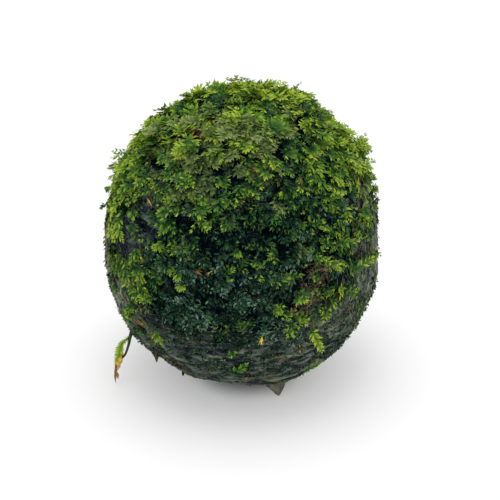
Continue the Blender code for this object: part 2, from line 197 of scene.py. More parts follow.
# Beds of sprays from the crown to the foot: name, the lowest height of their directions, rise and leaf size
FROND_BEDS = (
    ("crown_fronds", 0.74, 0.50, 1.26),
    ("shoulder_fronds", 0.48, 0.42, 1.12),
    ("upper_flank_fronds", 0.22, 0.42, 1.0),
    ("middle_fronds", -0.05, 0.40, 1.0),
    ("lower_flank_fronds", -0.35, 0.34, 0.92),
    ("foot_fronds", -2, 0.20, 0.80),
)

# Single young tufts: polar angle, azimuth, turn from downhill in degrees, length, rise and tone. A tuft whose
# rise is UPRIGHT stands straight out of the lump and turns its leaves to the front or the back.
UPRIGHT = 9

# Tufts that are sprays of three fronds
SPRAY_TUFTS = (
    (52, -106.2, 3, 0.0021, 0.16, 0.84), (50.5, -111.3, -16, 0.0019, 0.35, 0.72),
    (47.9, -122.6, 86, 0.0037, 0.1, 0.72), (51.4, -128.2, 91, 0.0035, 0.1, 0.74),
    (36, -131.9, 94, 0.0036, 0.12, 0.8), (38.8, -138.1, 64, 0.0019, 0.1, 0.74),
    (40.2, -128.6, 17, 0.0028, 0.42, 0.68), (44.5, -121.1, 58, 0.0018, 0.1, 0.6),
    (54.6, -132.3, 88, 0.0043, 0.1, 0.72), (59.8, -147.8, 57, 0.0022, 0.39, 0.68),
    (63.1, -142.9, 44, 0.0027, 0.22, 0.72), (66, -159.3, 58, 0.0059, 0.1, 0.76),
    (74.2, -126.4, 129, 0.0049, 0.1, 0.78), (78.1, -138.3, 57, 0.003, 0.1, 0.7),
    (83.3, -138.6, 43, 0.0035, 0.27, 0.64), (82.7, -131.8, 7, 0.0022, 0.73, 0.58),
    (91.3, -132.3, -3, 0.0048, 0.53, 0.72), (103.6, -145, 114, 0.0048, 0.1, 0.7),
    (110.2, -150.5, 40, 0.0036, 0.1, 0.84), (85.6, -114.4, 30, 0.0016, 0.81, 0.88),
    (59.8, -94, -24, 0.0028, 0.27, 0.66), (69.9, -90.7, -18, 0.0016, 0.42, 0.76),
    (77.5, -91.9, 117, 0.0037, 0.27, 0.7), (80.3, -97.7, 110, 0.0035, 0.13, 0.6),
    (109.5, -99.5, 149, 0.0028, 0.1, 0.58), (113.4, -94.8, 27, 0.0019, 1.07, 0.64),
    (55.8, -115.9, -8, 0.0028, 0.36, 0.66), (53.3, -69.7, 33, 0.0028, 0.29, 0.66),
    (39.1, -77.2, -43, 0.0022, 0.1, 0.68), (36.5, -87, -2, 0.0032, 0.13, 0.7),
    (40.4, -67.6, 39, 0.0035, 0.36, 0.66), (42.8, -57.3, 65, 0.0024, 0.6, 0.7),
    (37.7, -47.5, 61, 0.0023, 0.69, 0.7), (49.7, -50.3, 27, 0.0029, 0.37, 0.74),
    (56.1, -54.7, 52, 0.0025, 0.57, 0.8), (59.4, -41.2, 10, 0.0048, 0.38, 0.86),
    (57.6, -44.6, -36, 0.0028, 0.17, 0.78), (64.6, -46.6, -9, 0.0027, 0.36, 0.76),
    (62.4, -61.3, 42, 0.0036, 0.47, 0.7), (61.6, -63.7, -7, 0.0018, 0.27, 0.7),
    (70.8, -75.2, -49, 0.0031, 0.26, 0.78), (73.4, -82.7, -24, 0.0023, 0.52, 0.68),
    (74, -60.7, 66, 0.0042, 0.63, 0.72), (97.9, -43.7, 109, 0.0038, 0.73, 0.82),
    (95.4, -51.1, 15, 0.0029, 1.01, 0.78), (99.4, -52.5, -39, 0.0037, 0.32, 0.86),
    (92.8, -78.2, 48, 0.0029, 0.62, 0.84), (94.1, -73.7, 31, 0.0042, 0.71, 0.68),
    (101.6, -68, -27, 0.0042, 0.69, 0.82), (105.5, -31.5, 1, 0.0024, 0.1, 0.74),
    (87.6, -21.2, -51, 0.0018, 0.2, 0.72), (15.6, 133, 8, 0.0015, 3, 0.92),
    (6.9, 136.7, 16, 0.0016, 1.53, 0.8), (5.8, 48.6, 106, 0.003, 1.27, 0.88),
    (14.8, 18.3, 16, 0.0015, 2, 0.84), (18.6, 17.4, 2, 0.0021, 1.53, 0.88),
    (25.7, 11.3, 3, 0.0018, 1.47, 0.76), (32.8, 12.4, -6, 0.0017, 1.36, 0.8),
    (41.2, -4.4, 66, 0.0032, 1.13, 0.84), (53.8, 13.5, 88, 0.0015, 3, 0.95),
    (58.8, -7.4, 45, 0.0016, 2.86, 0.94), (62.5, -4, 87, 0.0015, 3, 0.88),
    (63.5, -12.1, 55, 0.0015, 2.69, 0.76), (32.8, 179.6, -11, 0.0017, 1.35, 0.72),
    (39.4, 168.4, -8, 0.0015, 2.68, 0.74), (46.6, 167.3, 7, 0.0015, 2.46, 0.88),
    (49.9, 167.8, -4, 0.0015, 3, 0.84), (49.6, -177.4, 1, 0.0032, 1.14, 0.92),
    (52.5, -175.8, -2, 0.0031, 1.24, 0.84), (56.5, -149.8, 4, 0.0047, 0.21, 0.85),
    (75.9, -135.3, 3, 0.004, 0.31, 0.82), (86.7, -155.1, 81, 0.0049, 0.1, 0.66),
    (82.7, -134.7, 12, 0.0035, 0.59, 0.77), (94, -129.1, -22, 0.0028, 1.01, 0.64),
    (102.6, -141.6, -18, 0.0035, 0.93, 0.78), (108.7, -131.9, 34, 0.0034, 0.63, 0.54),
    (70.5, -122.6, -25, 0.0026, 0.55, 0.86), (69.2, -130.4, 2, 0.0035, 0.35, 0.62),
    (67, -138.2, 0, 0.0028, 0.45, 0.6), (65.6, -26.7, -45, 0.003, 0.21, 0.66),
    (74.8, -25.8, -31, 0.0027, 0.2, 0.62), (85.3, -21.5, -28, 0.0024, 0.54, 0.7),
    (114.7, -143.4, -1, 0.003, 0.15, 0.46), (114.5, -140.7, -1, 0.003, 0.15, 0.46),
    (118, 30, 20, 0.005, 0.2, 0.84), (112, 150, -20, 0.005, 0.2, 0.84), (90, 60, 0, 0.0042, 0.3, 0.86),
    (27, 86, -30, 0.005, 0.6, 0.82), (29, 122, 20, 0.0056, 0.6, 0.86), (70, 120, 15, 0.0046, 0.3, 0.82),
    (62, 60, -20, 0.0048, 0.3, 0.84), (84, 100, 5, 0.0044, 0.3, 0.8), (48.5, -3, 0, 0.0044, UPRIGHT, 1.02),
    (50, -6, 0, 0.0038, UPRIGHT, 0.94), (47.5, -9, 0, 0.0042, UPRIGHT, 0.98),
    (49.2, -4.5, 0, 0.0034, UPRIGHT, 1),
    (48.2, -6.5, 0, 0.0036, UPRIGHT, 1.02), (51, -2.5, 0, 0.0028, UPRIGHT, 0.9),
    (49.6, -7.5, 0, 0.003, UPRIGHT, 0.92),
    (68.8, -107.4, -8, 0.0036, 0.2, 0.4), (69.2, -104, 10, 0.0038, 0.2, 0.36),
    (71.5, -105.7, 0, 0.0034, 0.2, 0.34), (73.4, -103.2, -14, 0.003, 0.2, 0.38),
    (64, -86.3, 6, 0.0036, 0.2, 0.42), (65.8, -83.1, -10, 0.0032, 0.2, 0.38),
    (45.2, 168.5, -20, 0.004, 0.2, 0.6), (39.9, -172.9, 8, 0.0044, 0.2, 0.66),
    (43.6, -170.9, -6, 0.0038, 0.2, 0.56), (96.8, -98.5, -10, 0.004, 0.12, 0.44),
    (95.7, -95.5, 8, 0.0044, 0.12, 0.38), (96.1, -92.5, -4, 0.0042, 0.12, 0.46),
    (96.5, -89.6, 12, 0.0042, 0.12, 0.4), (97.6, -86.6, 4, 0.0038, 0.12, 0.44),
    (98.6, -93.8, 0, 0.0034, 0.12, 0.34), (54.7, -93.1, -8, 0.0052, 0.12, 0.44),
    (53.4, -89, 6, 0.0054, 0.12, 0.38), (53.5, -84.8, -4, 0.0056, 0.12, 0.46),
    (54.1, -80.6, 14, 0.0054, 0.12, 0.4), (55.2, -76.6, 0, 0.0052, 0.12, 0.46),
    (56.9, -72.7, 10, 0.0048, 0.12, 0.42), (56.1, -82.9, 2, 0.0048, 0.12, 0.34),
    (23.4, -8.1, 30, 0.0036, 0.35, 0.62), (26.8, -16.5, 10, 0.0034, 0.35, 0.52),
    (25.7, -29.2, 60, 0.0038, 0.35, 0.58), (29.8, -32.5, 35, 0.0036, 0.35, 0.66),
    (30.1, -43.2, 5, 0.0034, 0.35, 0.5), (28, -50.7, -20, 0.0034, 0.35, 0.56),
    (30.8, -59.8, 20, 0.0032, 0.35, 0.48), (33.6, -54.1, 50, 0.0034, 0.35, 0.6),
    (21, -19.6, 0, 0.0034, 0.35, 0.48),
)

# Tufts of one frond
FROND_TUFTS = (
    (53.3, -133.7, -40, 0.0042, 0.47, 0.66), (53, -148.8, -21, 0.0051, 0.47, 0.72),
    (69.4, -153.7, 34, 0.0065, 0.1, 0.88), (85.7, -142.8, 29, 0.0045, 0.34, 0.66),
    (102.4, -139.6, -27, 0.0025, 1.09, 0.64), (112.2, -129.5, 30, 0.004, 0.4, 0.84),
    (129.1, -97.2, 126, 0.0068, 0.1, 0.72), (56.4, -48.5, 85, 0.0043, 0.67, 0.88),
    (53.4, -26.1, -17, 0.0043, 0.16, 0.86), (63.1, -55.4, 13, 0.0033, 0.53, 0.76),
    (65.4, -71.9, 46, 0.003, 0.47, 0.66), (73.3, -50.8, 82, 0.0068, 0.46, 0.76),
    (76.6, -59, 53, 0.0063, 0.51, 0.84), (87.6, -38.6, 92, 0.0062, 0.68, 0.8),
    (81.3, -72.6, 82, 0.0037, 0.45, 0.62), (83.5, -79.1, 98, 0.0048, 0.39, 0.68),
    (134.7, -56.5, 153, 0.0057, 0.1, 0.72), (14.1, 41.5, 29, 0.0015, 3, 0.8),
    (24.8, 32.1, -36, 0.0041, 0.44, 0.86), (41.4, 20, -27, 0.0022, 0.83, 0.62),
    (67.5, -15.8, 61, 0.0015, 2.53, 0.58), (19.7, 175.3, -18, 0.0017, 1.48, 0.74),
    (18.1, 176.7, -24, 0.0019, 1.58, 0.74), (22.4, -179.3, -23, 0.0018, 1.45, 0.84),
    (56, -177.6, -1, 0.0025, 1.51, 0.7), (64.7, -174.2, -13, 0.0017, 2.26, 0.6),
    (74.2, -178.9, 5, 0.0015, 2.63, 0.6), (64.9, -151.9, 21, 0.0086, 0.12, 0.9),
    (83.7, -143.4, 28, 0.0056, 0.26, 0.74), (91.8, -130.9, -14, 0.0045, 0.63, 0.78),
    (109.4, -149.5, 21, 0.0032, 0.15, 0.88), (107, -147.6, 16, 0.0038, 0.15, 0.84),
    (111.5, -127.9, 22, 0.0034, 0.5, 0.88), (113.2, -131, 21, 0.0028, 0.5, 0.84),
    (68.9, -34.3, -10, 0.0045, 0.12, 0.62), (100, 95, 10, 0.0048, 0.3, 0.86),
    (36, 42, 30, 0.0056, 0.5, 0.84), (36, 140, -10, 0.005, 0.5, 0.82), (125, 100, 10, 0.0046, 0.2, 0.78),
    (46, 4, 115, 0.0046, 1, 0.92), (48, 1, 80, 0.004, 1, 0.88), (57, 1, 60, 0.0044, 1, 0.9),
)

# The long clear frond low on the right
CLEAR_FROND = (
    (106.6, -61, 30, 0.0108, 0.12, 0.97),
)


# How far a tuft's root is lifted off the moss, and about how high it rises at most: less if it is short
TUFT_LIFT = 0.0010
SHORT_TUFT = 0.0020
RISE_OF_SHORT_TUFT = 0.0015
RISE_OF_TUFT = 0.0028

# Withered bits caught on the moss: polar angle, azimuth, turn from downhill in degrees, length and tone
WITHERED_BITS = (
    (36.9, -102.1, 124, 0.0021, 0.95), (42.7, -49.1, 112, 0.0049, 0.55), (40.7, -45.4, 67, 0.0018, 0.75),
    (47.2, -60.6, -17, 0.0025, 0.8), (56.9, -134.8, 52, 0.0028, 0.9), (109.3, -142.6, 47, 0.0062, 0.85),
    (112.5, -141.9, 63, 0.0034, 0.62), (78.2, -107.3, 65, 0.0028, 0.8), (79.7, -103, 119, 0.0026, 0.72),
    (116.4, -64.5, 17, 0.0034, 0.92), (113.8, -66, 16, 0.0027, 0.6), (105.4, -81.8, -2, 0.0046, 1.25),
    (107.2, -80.6, -13, 0.004, 0.45), (102, -41.1, -37, 0.0027, 0.66), (90.4, -34.3, -6, 0.0017, 0.98),
    (79.8, -41, 49, 0.0017, 0.95), (87.1, -21.5, -29, 0.0015, 0.98), (22.9, -116.6, 51, 0.0023, 0.8),
    (78.1, -132.9, 33, 0.0022, 0.86), (133, -88.7, 135, 0.0019, 1), (94.1, -61.7, -43, 0.0019, 0.55),
    (79.4, -57.1, 20, 0.0023, 0.62), (54.6, -26, -27, 0.0034, 0.85), (70, 40, 20, 0.0034, 0.8),
    (96, 120, -30, 0.0034, 0.8), (124, 80, 10, 0.004, 0.8),
)

# The hanging shoot, as the solids have it
STEM_POINTS = (
    (-0.0312, -0.0106, 0.0186), (-0.0326, -0.0097, 0.0139), (-0.0328, -0.01, 0.0125),
    (-0.0334, -0.0105, 0.0106), (-0.034, -0.011, 0.0091), (-0.0357, -0.0116, 0.0074),
    (-0.0368, -0.0122, 0.0057), (-0.037, -0.0132, 0.0028), (-0.0369, -0.0137, 0.0011),
)
STEM_STEPS = 40
STEM_SIDES = 6
BRANCH_POINTS = (
    (-0.0328, -0.0097, 0.0142), (-0.0349, -0.0102, 0.0124), (-0.0356, -0.0106, 0.0109),
    (-0.0359, -0.011, 0.0094), (-0.0361, -0.0114, 0.0078), (-0.0365, -0.0119, 0.0062),
)
BRANCH_STEPS = 26
BRANCH_SIDES = 5
BRANCH_RADIUS = 0.00020

# The thickness of its stem: shares of the way, and the radius at each
STEM_WAYS = (0, 0.12, 0.35, 0.66, 0.85, 1)
STEM_RADII = (0.0008, 0.00055, 0.0004, 0.0003, 0.0004, 0.00006)

# Its withered leaves: base, tip, half width, tone
WITHERED_LEAVES = (
    (-0.0349, -0.0121, 0.0096, -0.0363, -0.0126, 0.006, 0.0006, 0.97),
    (-0.0347, -0.012, 0.0086, -0.0361, -0.0127, 0.0056, 0.0005, 0.88),
    (-0.036, -0.0122, 0.0084, -0.0364, -0.0127, 0.005, 0.0005, 0.95),
    (-0.0354, -0.0121, 0.007, -0.0366, -0.0129, 0.0042, 0.0005, 0.9),
    (-0.0364, -0.0128, 0.0044, -0.0362, -0.0134, 0.0018, 0.0005, 0.8),
)

# Flaps that hang under the edge: top, tip, half width, half depth, and the power of their taper
WET_FLAP = ((0.0080, -0.0178, 0.0076), (0.0106, -0.0196, 0.0004), 0.0054, 0.0016, 0.8)
FOOT_BARB = ((-0.0164, -0.0134, 0.0104), (-0.0171, -0.0142, 0.0037), 0.0013, 0.0012, 0.6)
BROWN_TAG = ((-0.0249, -0.0140, 0.0118), (-0.0244, -0.0152, 0.0089), 0.0012, 0.0006, 0.8)

# Fixed colours, which no setting changes
OLIVE_DARK, OLIVE_LIGHT = (0.008, 0.016, 0.012), (0.225, 0.290, 0.085)
WITHERED_DARK, WITHERED_GOLD, WITHERED_YELLOW = (0.012, 0.008, 0.005), (0.44, 0.27, 0.075), (0.66, 0.48, 0.03)
DEAD_DARK, DEAD_BROWN, DEAD_LIGHT = (0.012, 0.010, 0.010), (0.090, 0.066, 0.045), (0.36, 0.26, 0.18)
# A pale blue-green near the top of its ramp: painted wet sheen on the leaves
TEAL_PAINTED_SHEEN = (0.085, 0.165, 0.090)
# Each leaf's colour is multiplied from its base to its tip: painted shade at the base and painted light at
# the tip
LEAF_BASE_PAINTED_SHADE, LEAF_TIP_PAINTED_LIGHT = (0.31, 0.40, 0.42), (1.34, 1.30, 1.40)
STONE_BLOOM = (0.026, 0.032, 0.044)
FLAP_STREAK = (0.030, 0.034, 0.026)

# The studio floor: its front and back, half its width, the curve up to its wall and the wall's top
FLOOR_FRONT, FLOOR_BACK, FLOOR_HALF_WIDTH = -1.2, 0.9, 2.0
COVE_RADIUS, COVE_STEPS, WALL_TOP = 0.5, 12, 1.6

# Where the floor's glow fades, a painted contact shadow under the lump: the middle, the distances from
# it between which it comes back, and its least
FLOOR_SHADE_MIDDLE = (0.001, -0.005, 0.0)
FLOOR_SHADE_REACH = (0.008, 0.018)
FLOOR_SHADE = (0.12, 0.12, 0.12)
WHITE = (1.0, 1.0, 1.0)

# The picture: its pixels across, and where it aims from the lump's middle, in pixels right and up
PICTURE_PIXELS = 500
AIM_RIGHT, AIM_UP = 8, -12.5
SENSOR_WIDTH = 36
LAMP_PLACE = (-0.02, -0.02, 0.62)
LAMP_SIZE = 0.34


def unit(vectors):
    """The same directions at length one."""
    return vectors / np.maximum(np.linalg.norm(vectors, axis=-1, keepdims=True), 1e-12)


def heading(polar, azimuth):
    """The unit direction at a polar angle from +Z and an azimuth from +X, both in degrees."""
    polar, azimuth = np.broadcast_arrays(np.radians(polar), np.radians(azimuth))
    flat = np.sin(polar)
    return np.stack([flat * np.cos(azimuth), flat * np.sin(azimuth), np.cos(polar)], axis=-1)


def mound(directions, centre, spread_deg):
    """A round mound: one at its centre, fading with the square of the angle from it."""
    cosine = np.clip(directions @ centre, -1.0, 1.0)
    return np.exp(-((np.degrees(np.arccos(cosine)) / spread_deg) ** 2))


def places_sum(directions, places):
    """The sum of the mounds that a table of places gives, each row polar, azimuth, amount and spread."""
    return sum(amount * mound(directions, heading(*place), spread) for *place, amount, spread in places)


def ease(low, high, values):
    """Zero below low, one above high, and an S-curve between them; low may be the larger."""
    share = np.clip((values - low) / (high - low), 0.0, 1.0)
    return share * share * (3 - 2 * share)


LATTICE_STEPS = np.array((374761393, 668265263, 2147483647))


def lattice(cells, seed):
    """A fixed pseudo-random number from 0 to 1 for each whole-number cell, by multiplying and folding."""
    mixed = cells @ LATTICE_STEPS + seed * 974634777
    mixed = (mixed ^ (mixed >> 13)) * 1274126177
    return ((mixed ^ (mixed >> 16)) & 0xFFFFFF) / 0xFFFFFF


def soft_noise(points, seed):
    """Smooth noise from -1 to 1: a random value at each corner of unit cells, blended by S-curves."""
    base = np.floor(points).astype(np.int64)
    part = points - base
    part = part * part * (3 - 2 * part)
    total = np.zeros(points.shape[:-1])
    for corner in np.ndindex(2, 2, 2):
        weight = np.where(corner, part, 1 - part).prod(axis=-1)
        total = total + weight * lattice(base + np.array(corner), seed)
    return 2 * total - 1


def warped(directions, amount, fineness, first_seed):
    """Directions pushed aside by smooth noise, which has a seed for each axis."""
    push = [soft_noise(directions * fineness, first_seed + axis) for axis in range(3)]
    return directions + amount * np.stack(push, axis=-1)


def gap_share(directions):
    """One inside a gap over the stone and zero outside it, with a ragged rim."""
    share = np.zeros(directions.shape[:-1])
    for place in STONE_GAPS:
        centre = heading(*place)
        level = unit(np.cross((0.0, 0.0, 1.0), centre))
        aside = np.degrees(directions @ level) / GAP_HALF_WIDTH_DEG
        above = np.degrees(directions @ np.cross(centre, level)) / GAP_HALF_HEIGHT_DEG
        reach = np.hypot(aside, above) + 0.35 * soft_noise(directions * 22, 31)
        share = np.maximum(share, ease(1.1, 0.75, reach) * (directions @ centre > 0))
    return share


def mat_distance(directions):
    """How far the mat is from the middle: a squarish egg with its swellings, as the solids have it."""
    flat = np.hypot(directions[..., 0], directions[..., 1]) / HALF_WIDTH
    tall = np.abs(directions[..., 2]) / HALF_HEIGHT
    power = np.where(directions[..., 2] > 0, UPPER_POWER, LOWER_POWER)
    distance = (flat**power + tall**power) ** (-1.0 / power) + places_sum(directions, SWELLINGS)
    ripple = np.sin(11 * directions[..., 0] + 2) * np.sin(9 * directions[..., 1] + 5 * directions[..., 2])
    return distance + 0.0004 * ripple


def shaggy(directions):
    """How far the moss is leafy rather than matted: one above, fading on the foot and the bare flanks."""
    leafy = ease(-0.62, -0.10, directions[..., 2])
    for *place, strength, spread in MATTED_PLACES:
        leafy = leafy * (1 - strength * mound(directions, heading(*place), spread))
    return leafy


def clumps(directions):
    """From minus one in a hollow to one on a clump: the moss hangs in ragged shelves, wider than tall."""
    place = warped(directions, 0.10, 5, 13) * np.array((6.5, 6.5, 11.0))
    return np.clip(1.5 * soft_noise(place, 11) + 0.6 * soft_noise(place * 2.3, 12), -1, 1)


def moss_distance(directions):
    """The mat with its clumps and hollows, strongest where the moss is leafy."""
    leafy = shaggy(directions)
    hollows = HOLLOW_DEPTH * places_sum(directions, HOLLOWS)
    cover = places_sum(directions, COVER_PLACES) - 0.0010 * leafy - hollows
    return mat_distance(directions) + 0.0009 * clumps(directions) * (0.2 + 0.8 * leafy) + cover


def stone_distance(directions):
    """The stone: the mat less its cover, knuckled under each gap and cragged all round."""
    near_foot = np.clip((-directions[..., 2] - 0.75) / 0.22, 0.0, 1.0)
    cover = MOSS_THICKNESS + (FOOT_THICKNESS - MOSS_THICKNESS) * near_foot
    distance = mat_distance(directions) - cover
    for place in STONE_GAPS:
        distance = distance + KNUCKLE_HEIGHT * mound(directions, heading(*place), KNUCKLE_SPREAD_DEG)
    crags = np.sin(17 * directions[..., 0] + 4 * directions[..., 2]) * np.sin(15 * directions[..., 1] + 1)
    crags = crags + 0.6 * np.sin(23 * directions[..., 2] + 9 * directions[..., 0])
    return distance + CRAG_HEIGHT * crags * (1 - near_foot)


def set_on(directions, lift=0.0):
    """Points on the moss, lifted outwards, and never lower than the coat's rim over the floor."""
    points = CENTRE + directions * (moss_distance(directions) + lift)[..., None]
    points[..., 2] = np.maximum(points[..., 2], LIFT_OF_COAT)
    return points


def turned(directions, angles):
    """Directions along the lump, turned from downhill by angles towards the left of downhill."""
    downhill = DOWN - directions * (directions @ DOWN)[..., None]
    downhill = unit(downhill + np.array((1e-6, 0.0, 0.0)))
    sideways = np.cross(directions, downhill)
    return downhill * np.cos(angles)[..., None] + sideways * np.sin(angles)[..., None]


def scattered(draw, count, weight):
    """Directions on a golden spiral from pole to pole, jittered; weight gives the chance to keep each."""
    order = np.arange(count) + 0.5
    height = 1 - 2 * order / count
    ring = np.sqrt(1 - height**2)
    turn = order * GOLDEN_TURN
    directions = np.stack([ring * np.cos(turn), ring * np.sin(turn), height], axis=1)
    directions = unit(directions + draw.normal(0, 0.8 / math.sqrt(count), directions.shape))
    return directions[draw.random(count) < weight(directions)]


def quads(a, b, c, d):
    """Triangles of quads whose corners are numbered a, b, c and d in turn: the first halves come first."""
    halves = ((a, b, c), (a, c, d))
    return np.concatenate([np.stack(corners, axis=-1).reshape(-1, 3) for corners in halves])


def round_grid(rows, columns):
    """Directions of a closed ball: two poles and rings between them, with the triangles that join them."""
    polar = np.linspace(0, 180, rows + 2)[1:-1]
    azimuth = np.arange(columns) * 360 / columns
    rings = heading(polar[:, None], azimuth[None, :]).reshape(-1, 3)
    directions = np.concatenate([[[0, 0, 1.0]], rings, [[0, 0, -1.0]]])
    index = 1 + np.arange(rows * columns).reshape(rows, columns)
    after = np.roll(index, -1, axis=1)
    top = np.stack([np.zeros(columns, int), index[0], after[0]], axis=-1)
    last = np.full(columns, len(directions) - 1)
    foot = np.stack([last, after[-1], index[-1]], axis=-1)
    return directions, np.concatenate([top, quads(index[:-1], index[1:], after[1:], after[:-1]), foot])


def tubes(paths, radii, ups, sides=3):
    """Closed tubes carried along paths: a ring of a few corners round each point, flat caps, joined in order.

    paths has a row of points for each tube, radii a thickness for each point, and ups the way that the
    first corner faces.
    """
    count, steps = paths.shape[:2]
    ahead = unit(np.gradient(paths, axis=1))
    across = unit(np.cross(ahead, ups))
    upward = np.cross(across, ahead)
    angles = np.arange(sides) * 2 * math.pi / sides
    ring = across[:, :, None] * np.sin(angles)[:, None] + upward[:, :, None] * np.cos(angles)[:, None]
    points = paths[:, :, None] + ring * radii[:, :, None, None]
    index = np.arange(count * steps * sides).reshape(count, steps, sides)
    after = np.roll(index, -1, axis=2)
    walls = quads(index[:, :-1], index[:, 1:], after[:, 1:], after[:, :-1])
    starts = [index[:, 0][:, [0, i, i + 1]] for i in range(1, sides - 1)]
    ends = [index[:, -1][:, [0, i + 1, i]] for i in range(1, sides - 1)]
    return points.reshape(-1, 3), np.concatenate([walls, *starts, *ends])


LEAF_FACES = np.array(((0, 1, 2), (0, 3, 1), (0, 2, 3), (1, 3, 2)))


def leaf_blades(base, lean, up, length, half_width, keel, droop=0.12):
    """Leaves as keels of four triangles: base and tip lie on a ridge and the two sides hang lower."""
    across = unit(np.cross(up, lean))
    facing = np.cross(lean, across)
    tip = base + lean * length - facing * droop * length
    middle = base + lean * 0.38 * length - facing * keel
    points = np.stack([base, tip, middle + across * half_width, middle - across * half_width], axis=-2)
    count = points[..., 0, 0].size
    faces = (np.arange(count) * 4)[:, None, None] + LEAF_FACES
    return points.reshape(-1, 3), faces.reshape(-1, 3)


def palette_plan(tone, row, place):
    """Places on the table of colours: tone goes across, and place up the middle 84 hundredths of a row."""
    up = (row + 0.08 + 0.84 * np.clip(place, 0, 1)) / COLOUR_ROWS
    return np.stack(np.broadcast_arrays(np.clip(tone, 0.02, 0.98), up), axis=-1).reshape(-1, 2)


def leaf_plan(tone, row, steps, places):
    """The plan of leaves: each one's tone and row, with a step of tone and a place for each of its points."""
    return palette_plan(np.asarray(tone)[..., None] + np.array(steps), np.asarray(row)[..., None], places)


def tube_plan(tone, row, ways, sides):
    """The plan of a tube: tone, row and place change along it, and the tone changes a little round it."""
    tone, row, place = (np.broadcast_to(values, ways.shape)[:, None] for values in (tone, row, ways))
    return palette_plan(tone + 0.006 * np.arange(sides), row, place)


def joined(*parts):
    """Several surfaces as one: their points and plans in a row, and their triangles counted on."""
    starts = np.cumsum([0] + [len(part[0]) for part in parts[:-1]])
    points, faces, plans = zip(*parts)
    faces = [triangles + start for triangles, start in zip(faces, starts)]
    return np.concatenate(points), np.concatenate(faces), np.concatenate(plans)


def flank_share(directions):
    """Zero on the crown and one on the flanks, with an S-curve between them."""
    return ease(0.80, 0.55, directions[..., 2])


def frond_surface(draw, fronds, pairs):
    """Leafy fronds: points, triangles and their places on the table of colours.

    A stem leaves its root along the mat, rises with the way along it and sags with the square of the way.
    Leaves stand on it in pairs, opening less and less towards the tip, and one leaf ends it. The stem itself
    is two long narrow blades, end to end.
    """
    count = len(fronds["root"])
    ways = np.append(np.repeat(np.linspace(0.12, 0.90, pairs), 2), 0.97)
    sides = np.append(np.tile((1.0, -1.0), pairs), 0.0)
    ways = ways + 0.022 * sides
    column = {key: value[:, None] for key, value in fronds.items() if value.ndim == 1}
    vector = {key: value[:, None] for key, value in fronds.items() if value.ndim == 2}
    across = np.cross(vector["out"], vector["along"])

    def stem(way):
        """The points of the stems at shares of their way."""
        lift = column["rise"] * way - column["sag"] * way**2
        aside = column["bend"] * way**2
        reach = column["length"][..., None]
        return vector["root"] + reach * (
            vector["along"] * way[..., None] + vector["out"] * lift[..., None] + across * aside[..., None]
        )

    way = np.broadcast_to(ways, (count, len(ways)))
    slope = (column["rise"] - 2 * column["sag"] * way)[..., None]
    ahead = unit(vector["along"] + vector["out"] * slope + across * (2 * column["bend"] * way)[..., None])
    up = unit(vector["out"] - ahead * (vector["out"] * ahead).sum(-1, keepdims=True))
    side = np.cross(up, ahead)
    roll = column["roll"][..., None]
    up, side = up * np.cos(roll) + side * np.sin(roll), side * np.cos(roll) - up * np.sin(roll)
    opening = np.radians(58 - 26 * way) * (1 + draw.normal(0, 0.18, way.shape))
    cup = 0.12 + draw.normal(0, 0.17, way.shape)
    lean = ahead * np.cos(opening)[..., None] + side * (sides * np.sin(opening))[..., None]
    lean = lean + up * cup[..., None]
    lean[:, -1] = ahead[:, -1]
    swell = 0.62 + 0.42 * np.sin(math.pi * np.clip(way * 0.95 + 0.12, 0, 1))
    length = column["leaf"] * swell * draw.uniform(0.8, 1.18, way.shape)
    width = (length * draw.uniform(0.19, 0.28, way.shape) * column["broad"])[..., None]
    leaves = leaf_blades(stem(way), unit(lean), up, length[..., None], width, 0.40 * width)
    # Blue-green leaves spread widely in tone, so that some reach the painted glints at the pale end of their
    # ramp
    wild = np.where(column["row"] == TEAL, 0.30, 0.13 + 0.05 * flank_share(vector["out"]))
    # Tone rises along each frond: lighter young leaves at the tip, and painted shade at its base where the
    # leaves crowd
    tone = column["tone"] + 0.46 * (way - 0.60) + draw.normal(0, wild, way.shape)
    plan = leaf_plan(tone, column["row"], (-0.05, 0.04, -0.008, 0.008), (0.0, 1.0, 0.45, 0.45))

    joints = stem(np.broadcast_to((0.0, 0.5, 0.98), (count, 3)))
    run = joints[:, 1:] - joints[:, :-1]
    reach = np.linalg.norm(run, axis=-1, keepdims=True)
    thick = np.broadcast_to(0.07 * fronds["leaf"][:, None, None], reach.shape)
    stems = leaf_blades(joints[:, :-1], run / reach, vector["out"], reach, thick, thick, 0.0)
    tone = column["tone"] + np.array((-0.30, -0.10))
    stem_plan = leaf_plan(tone, column["row"], (-0.05, 0.05, -0.008, 0.008), 0.5)
    return joined((*leaves, plan), (*stems, stem_plan))


def moss_tone_and_light(directions):
    """How light the moss is: bright at the crown and darker down the lump, painted light from above and
    painted shade below, lighter on the clumps and darker in the hollows between them, also painted, and
    with its own places and drifts.
    """
    height = directions[..., 2]
    tone = 0.35 + 0.13 * ease(0.35, 0.80, height) - 0.12 * ease(0.35, -0.2, height)
    # Painted light on the clumps and painted shade in the hollows between them
    shelf_light_and_shade = (0.12 + 0.05 * flank_share(directions)) * clumps(directions)
    drifts = 0.07 * soft_noise(directions * 5, 21) + shelf_light_and_shade
    return tone + places_sum(directions, TONE_AND_LIGHT_PLACES) + drifts


def off_floor(directions):
    """Zero at the foot, where the lump stands, and one a little higher."""
    return ease(-0.90, -0.80, directions[..., 2])


def leaf_chance(directions):
    """The chance that a spray grows: low where the coat is bare or hollow, and none over stone or floor."""
    leafy = (0.03 + 0.97 * shaggy(directions) ** 1.5) * off_floor(directions)
    return leafy * (0.25 + 0.75 * ease(-1.0, -0.4, clumps(directions))) * (1 - gap_share(directions))


def felt_chance(directions):
    """The chance of a short frond: only among the bare strands, and none over the stone or the floor."""
    bare = (1 - shaggy(directions)) * (1 - gap_share(directions))
    below = ease(-0.05, -0.38, directions[..., 2]) * off_floor(directions)
    return bare * (0.80 * below + 0.20 * off_floor(directions))


def strand_chance(directions):
    """The chance of a strand: high on the bare mat, low among the leaves and none over the stone."""
    return (1.0 - 0.97 * shaggy(directions)) * (1 - gap_share(directions))


